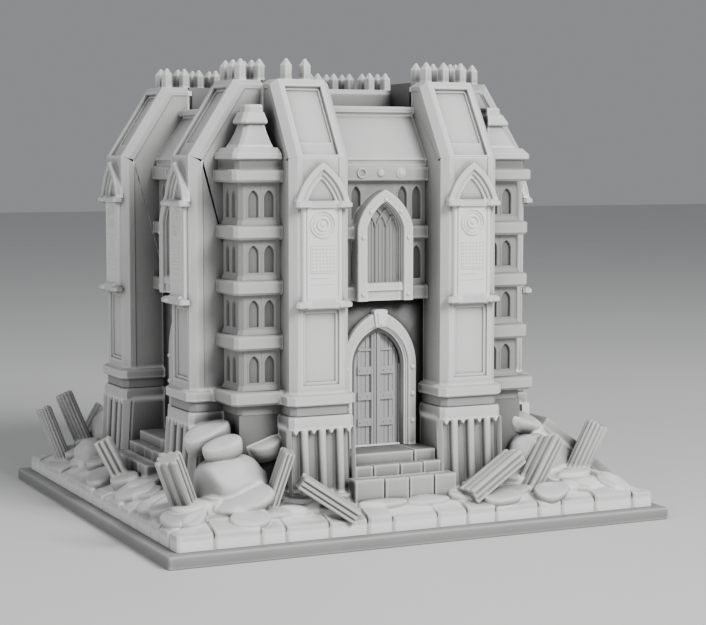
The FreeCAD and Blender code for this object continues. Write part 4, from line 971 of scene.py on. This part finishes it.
def make_steps(side):
    """Landing and two lower steps, each course of separate worn blocks."""
    node = f"steps_{side}"
    low, high = seen_from(side, node)
    reach, ground, top = bay_reach(side), low.z, high.z
    model = Model(place(side, reach))
    half, middle_half = (high.x - low.x) / 2, 17.4
    landing_edge, middle_edge, joint = 13.6, 17.8, 0.2
    courses = [
        (top, 17.2, (0, landing_edge), (8.3,)),
        (top - 3.85, middle_half, (landing_edge, middle_edge), (-10.2, 0.6, 10.0)),
        (top - 7.7, half, (middle_edge, -low.y - reach), (-8.7, 1.2, 11.4)),
    ]
    for level, wide, (near, far), joints in courses:
        ends = [-wide, *joints, wide]
        for index, (left, right) in enumerate(zip(ends, ends[1:])):
            drop = 0.18 * sin(5 * index + level)
            outer = far + 0.2 * cos(3 * index + level)
            x_span = (left + joint * (index > 0), right - joint * (right < wide))
            model.block(x_span, (-min(outer, far), -near), (ground, level - abs(drop)))
        if wide == half:
            model.block((-middle_half, middle_half), (-near - 2.4, -near), (ground, level - 0.4))
    model.finish(node, "resin_shade", bevel=0.4, segments=3)


# ---- ground

KERB_INSET = 4.4
PLATE_LOW, PLATE_HIGH = span("base_plate")
BANK_FOOT = 0.2
STONE_RISE = 2.5
FLAT_STONE_TOP = 18
THIN_BOULDER = 5
SQUARENESS = 2.7
LEAN = 0.45


def rough(point, size, amount, seed):
    """A smooth random push for a surface point."""
    shift = Vector((seed * 13.7, seed * 5.1, seed * 9.3))
    return noise.noise(point / size + shift) * amount


def inward_from_kerb(x, y):
    """Distances inward from the kerb's outer face, along x and along y."""
    return PLATE_HIGH.x - KERB_INSET - abs(x), PLATE_HIGH.y - KERB_INSET - abs(y)


def bank_height(x, y):
    """Height of the bed: steep behind the kerb, nearly level towards the tower."""
    inward, steep_part, flat_part = min(inward_from_kerb(x, y)), 14, 20
    crest = PLATE_HIGH.z + BANK_FOOT + 0.47 * min(inward, steep_part)
    return crest + 0.08 * min(max(0, inward - steep_part), flat_part)


def bank_tilt(x, y):
    """Turns about x and y that lay a flat stone on the bed."""
    level_from, level_to, steepest = 7, 21, 0.40
    about_y, about_x = [steepest * min(1, max(0, 1 - (inward - level_from) / (level_to - level_from)))
                        for inward in inward_from_kerb(x, y)]
    return copysign(about_x, -y), copysign(about_y, x)


def make_ground():
    """Bed that rises in an uneven bank from the kerb, with a mound under the broad slab."""
    half_x, half_y = PLATE_HIGH.x - 7.2, PLATE_HIGH.y - 7.2
    slab_low, slab_high = max(islands("fallen_columns"), key=lambda box: box[1].x)
    slab_middle, slab_half = split_box((slab_low, slab_high))
    cells, skirt_foot = 110, PLATE_LOW.z + 4.6
    model = Model()
    mesh = model.mesh

    def level_at(x, y):
        here = Vector((x, y, 0))
        bumps = 0.9 * noise.noise(here / 11) + 0.5 * noise.noise(here / 4.5)
        level = bank_height(x, y) + bumps
        if x <= slab_low.x - 6:
            return level
        share = min(1, (slab_high.x - x) / (2 * slab_half.x))
        beside = max(0, abs(y - slab_middle.y) - slab_half.y + 1)
        return max(level, slab_low.z + share * 2 * slab_half.z - 2.0 - 1.3 * beside + 2 * bumps)

    grid = []
    for row in range(cells + 1):
        y = half_y * (2 * row / cells - 1)
        xs = [half_x * (2 * column / cells - 1) for column in range(cells + 1)]
        grid.append([mesh.verts.new((x, y, level_at(x, y))) for x in xs])
    for near, far in zip(grid, grid[1:]):
        for column in range(cells):
            mesh.faces.new((near[column], near[column + 1], far[column + 1], far[column]))
    rim = [edge for edge in mesh.edges if edge.is_boundary]
    for part in bmesh.ops.extrude_edge_only(mesh, edges=rim)["geom"]:
        if isinstance(part, bmesh.types.BMVert):
            part.co.z = skirt_foot
    bmesh.ops.holes_fill(mesh, edges=[edge for edge in mesh.edges if edge.is_boundary], sides=0)
    model.finish("ground_bank", "resin_ground", bevel=0, visual_only=True)


def make_base():
    """Square plate with crisp edges, and the bed's block on it."""
    middle, half = split_box((PLATE_LOW, PLATE_HIGH))
    model = Model(Matrix.Translation((middle.x, middle.y, 0)))
    foot, plate_top, bed = PLATE_LOW.z, 4.5, 5.0
    plan = cushion(half.x, half.y, 0.6)
    model.stack(plan, [(foot, -0.3), (foot + 0.3, 0), (plate_top - 0.3, 0), (plate_top, -0.3)])
    model.stack(plan, [(plate_top - 0.5, -bed), (PLATE_HIGH.z, -bed)])
    model.finish("base_plate", "resin_plate", bevel=0.2)


def make_kerb():
    """Row of blocks round the ground, their tops sloping up inward like the bed."""
    model = Model()
    for seed, (low, high) in enumerate(islands("paving_kerb_blocks")):
        middle, half = split_box((low, high))
        plan = cushion(half.x, half.y, 0.8, middle.x, middle.y)
        lean = 0.35 * sin(2.7 * seed)

        def top_at(size, drop):
            return [(x, y, high.z + lean - drop + 0.36 * min(inward_from_kerb(x, y)))
                    for x, y in plan(size)]

        foot = [(x, y, low.z) for x, y in plan(-0.1)]
        model.loft([foot, top_at(-0.1, 0.8), top_at(-0.3, 0.2), top_at(-1.1, 0)])
    model.finish("paving_kerb_blocks", "resin_ground", bevel=0.3, segments=3)


def pebble(model, top, half_x, half_y, thick, tilt, seed):
    """Flat stone with a nearly level top, a rounded rim and an uneven outline, hung from its top."""
    turn = Matrix.Rotation(tilt[0], 4, "X") @ Matrix.Rotation(tilt[1], 4, "Y")
    model.at = Matrix.Translation(top) @ turn
    rings = []
    for level, size in [(-1, 0.94), (-0.4, 1.0), (-0.22, 1.0), (-0.07, 0.97), (0, 0.91), (0.03, 0.5)]:
        points = []
        for angle in turns(24):
            uneven = 1 + 0.09 * sin(2 * angle + seed) + 0.05 * sin(3 * angle + 2.3 * seed)
            x, y = half_x * size * uneven * cos(angle), half_y * size * uneven * sin(angle)
            points.append((x, y, thick * level + rough(Vector((x, y, 0)), 7, 0.3, seed)))
        rings.append(points)
    model.loft(rings)


def make_flagstones():
    """Flat oval paving stones laid on the bank, each where the CAD has one."""
    model = Model()
    wider, thick = 1.07, 4.5
    for seed, box in enumerate(islands("paving_flagstones")):
        middle, half = split_box(box)
        tilt_x, tilt_y = bank_tilt(middle.x, middle.y)
        loose = (tilt_x + 0.05 * sin(seed * 1.9), tilt_y + 0.05 * cos(seed * 2.7))
        top = bank_height(middle.x, middle.y) + STONE_RISE + 0.3 * sin(3 * seed)
        crown = Vector((middle.x, middle.y, top))
        pebble(model, crown, wider * half.x, wider * half.y, thick, loose, seed)
    model.finish("paving_flagstones", "resin_ground", bevel=0)


def own_axes(points, creases):
    """Middle of a straight piece, its axis, the direction across it and its half sizes along these."""
    axis = max(creases, key=lambda crease: crease.length).normalized()
    if axis.z < 0:
        axis = -axis
    level = [crease for crease in creases if abs(crease.normalized().dot(axis)) < 0.05]
    across = max(level, key=lambda crease: crease.length).normalized()
    up = axis.cross(across)
    middle, halves = Vector(), []
    for direction in (across, up, axis):
        along = [direction.dot(point) for point in points]
        halves.append((max(along) - min(along)) / 2)
        middle += direction * (max(along) + min(along)) / 2
    return middle, (across, up, axis), halves


def make_boulders():
    """Weathered boulders and flat stones, each shaped over its CAD solid."""
    model = Model()
    for seed, (low, high) in enumerate(islands("rubble_boulders")):
        middle, half = split_box((low, high))
        if high.z < FLAT_STONE_TOP:
            pebble(model, Vector((middle.x, middle.y, high.z)), half.x, half.y, 1.6 * half.z,
                   bank_tilt(middle.x, middle.y), seed)
        elif half.z < THIN_BOULDER:
            away = Vector((middle.x, middle.y, 0)).normalized()
            half_y = max(half.y, 0.7 * half.x)
            crown = middle - away * (half_y - half.y) + Vector((0, 0, 0.5 * half.z))
            pebble(model, crown, half.x, half_y, 1.4 * half.z, (-LEAN * away.y, LEAN * away.x), seed)
        else:
            boulder(model, middle, half, low.z, seed)
    model.finish("rubble_boulders", "resin_ground", bevel=0)


def boulder(model, middle, half, lowest, seed):
    """Rounded block with six worn flats and a lumpy skin, cut level at its lowest point."""
    rock = bmesh.new()
    bmesh.ops.create_icosphere(rock, subdivisions=4, radius=1)
    random.seed(seed + 5)
    cuts = []
    for _ in range(6):
        normal = Vector((random.uniform(-1, 1), random.uniform(-1, 1), random.uniform(-0.4, 1)))
        cuts.append((normal.normalized(), random.uniform(0.86, 0.95)))
    stretch = Matrix.Diagonal(half)
    verts = {}
    for vertex in rock.verts:
        point = vertex.co / sum(abs(c) ** SQUARENESS for c in vertex.co) ** (1 / SQUARENESS)
        for normal, limit in cuts:
            over = point.dot(normal) - limit
            if over > 0:
                point -= normal * over * 0.85
        point *= 1.02 + 0.08 * noise.noise(point * 1.7 + Vector((seed, 0, 0))) \
            + 0.02 * noise.noise(point * 7 + Vector((0, seed, 0)))
        spot = middle + stretch @ point
        spot.z = max(spot.z, lowest)
        verts[vertex.index] = model.mesh.verts.new(spot)
    for face in rock.faces:
        model.mesh.faces.new([verts[vertex.index] for vertex in face.verts])
    rock.free()


def make_columns():
    """Fallen fluted drums, split beams and slabs, along the CAD's own axes."""
    model = Model()
    for seed, (points, creases) in enumerate(solids_of("fallen_columns")):
        middle, directions, (wide, thick, length) = own_axes(points, creases)
        if directions[1].z < 0:
            directions = (-directions[0], -directions[1], directions[2])
        model.at = Matrix(directions).transposed().to_4x4()
        model.at.translation = middle
        if min(wide, thick) > 0.88 * max(wide, thick):
            fluted_drum(model, (wide + thick) / 2, length, seed)
        elif wide < 6:
            split_beam(model, wide, thick, length, seed)
        else:
            broken_slab(model, wide, thick, length, seed)
    model.finish("fallen_columns", "resin_fallen", bevel=0.18)


def fluted_drum(model, radius, length, seed):
    """Column drum with hollow flutes and a chipped end."""
    flutes, per_flute, hollow = 14, 6, 0.14

    def point(angle, level, size):
        out = radius * size * (1 - hollow + hollow * abs(sin(flutes * angle / 2)) ** 0.7)
        chip = 0
        if level > 0.5:
            chip = rough(Vector((cos(angle) * 2, sin(angle) * 2, 0)), 1.3, 1.2, seed)
        return (out * cos(angle), out * sin(angle), length * level + chip)

    model.loft([[point(angle, level, size) for angle in turns(flutes * per_flute)]
                for level, size in ((-1, 1.0), (0.2, 1.0), (0.93, 1.0), (0.985, 0.94))])


def split_beam(model, wide, thick, length, seed):
    """Squared beam with two grooves along each face and worn ends."""
    face = mirrored([(-0.8, 1), (-0.58, 1), (-0.5, 0.8), (-0.26, 0.8), (-0.18, 1)])
    section = face[:]
    for _ in range(3):
        section += [(v, -u) for u, v in section[-len(face):]]

    def point(x, y, level, size):
        split = 0.7 * sin(2 * x + seed) if level > 0.5 else 0
        return (wide * x * size, thick * y * size, length * level + split)

    model.loft([[point(x, y, level, size) for x, y in section]
                for level, size in ((-1, 1.0), (0.4, 1.0), (0.97, 1.0), (1, 0.93))])


def broken_slab(model, wide, thick, length, seed):
    """Wide plain slab with worn arrises and a slightly dished face."""
    section = [(-1, -1), (0, -0.96), (1, -1), (1.02, 0), (1, 0.8), (0.92, 1), (0, 0.93), (-0.92, 1),
               (-1, 0.8)]

    def point(x, y, level, size):
        uneven = rough(Vector((x * 3, level * 4, 0)), 2, 0.3, seed)
        return (wide * size * x, thick * size * y + uneven, length * level)

    model.loft([[point(x, y, level, size) for x, y in section]
                for level, size in ((-1, 0.95), (-0.97, 1.0), (0, 1.0), (0.97, 1.0), (1, 0.95))])


# ---- carried-over CAD nodes

def paint_cad_nodes():
    """The CAD nodes that keep showing get their paint, and the podium gets rounded edges."""
    for name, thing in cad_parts.items():
        # Painted shade: all but the hinge pins take the dark grey that paints shade on the bay walls.
        paint = "pin_steel" if name == "door_hinge_pins" else "resin_wall_painted_shade"
        thing.data.materials.clear()
        thing.data.materials.append(MATERIALS[paint])
        if name == "podium":
            thing.modifiers.new("weld", "WELD").merge_threshold = 0.00001
            round_edges(thing, 0.4)


add_camera()
add_light()
add_floor()
paint_cad_nodes()
for fin in fin_places():
    make_buttress(*fin)
make_necks()
make_plinths()
make_plaques()
for each_side in SIDES:
    make_turret(each_side)
    make_turret_roof(each_side)
    make_arcade(each_side)
    make_window(each_side)
    make_bay_roof(each_side)
    make_door_frame(each_side)
    make_door_backing(each_side)
    make_steps(each_side)
    for each_hand in HANDS:
        make_leaf(each_side, each_hand)
make_lid()
make_spikes()
make_base()
make_ground()
make_kerb()
make_flagstones()
make_boulders()
make_columns()
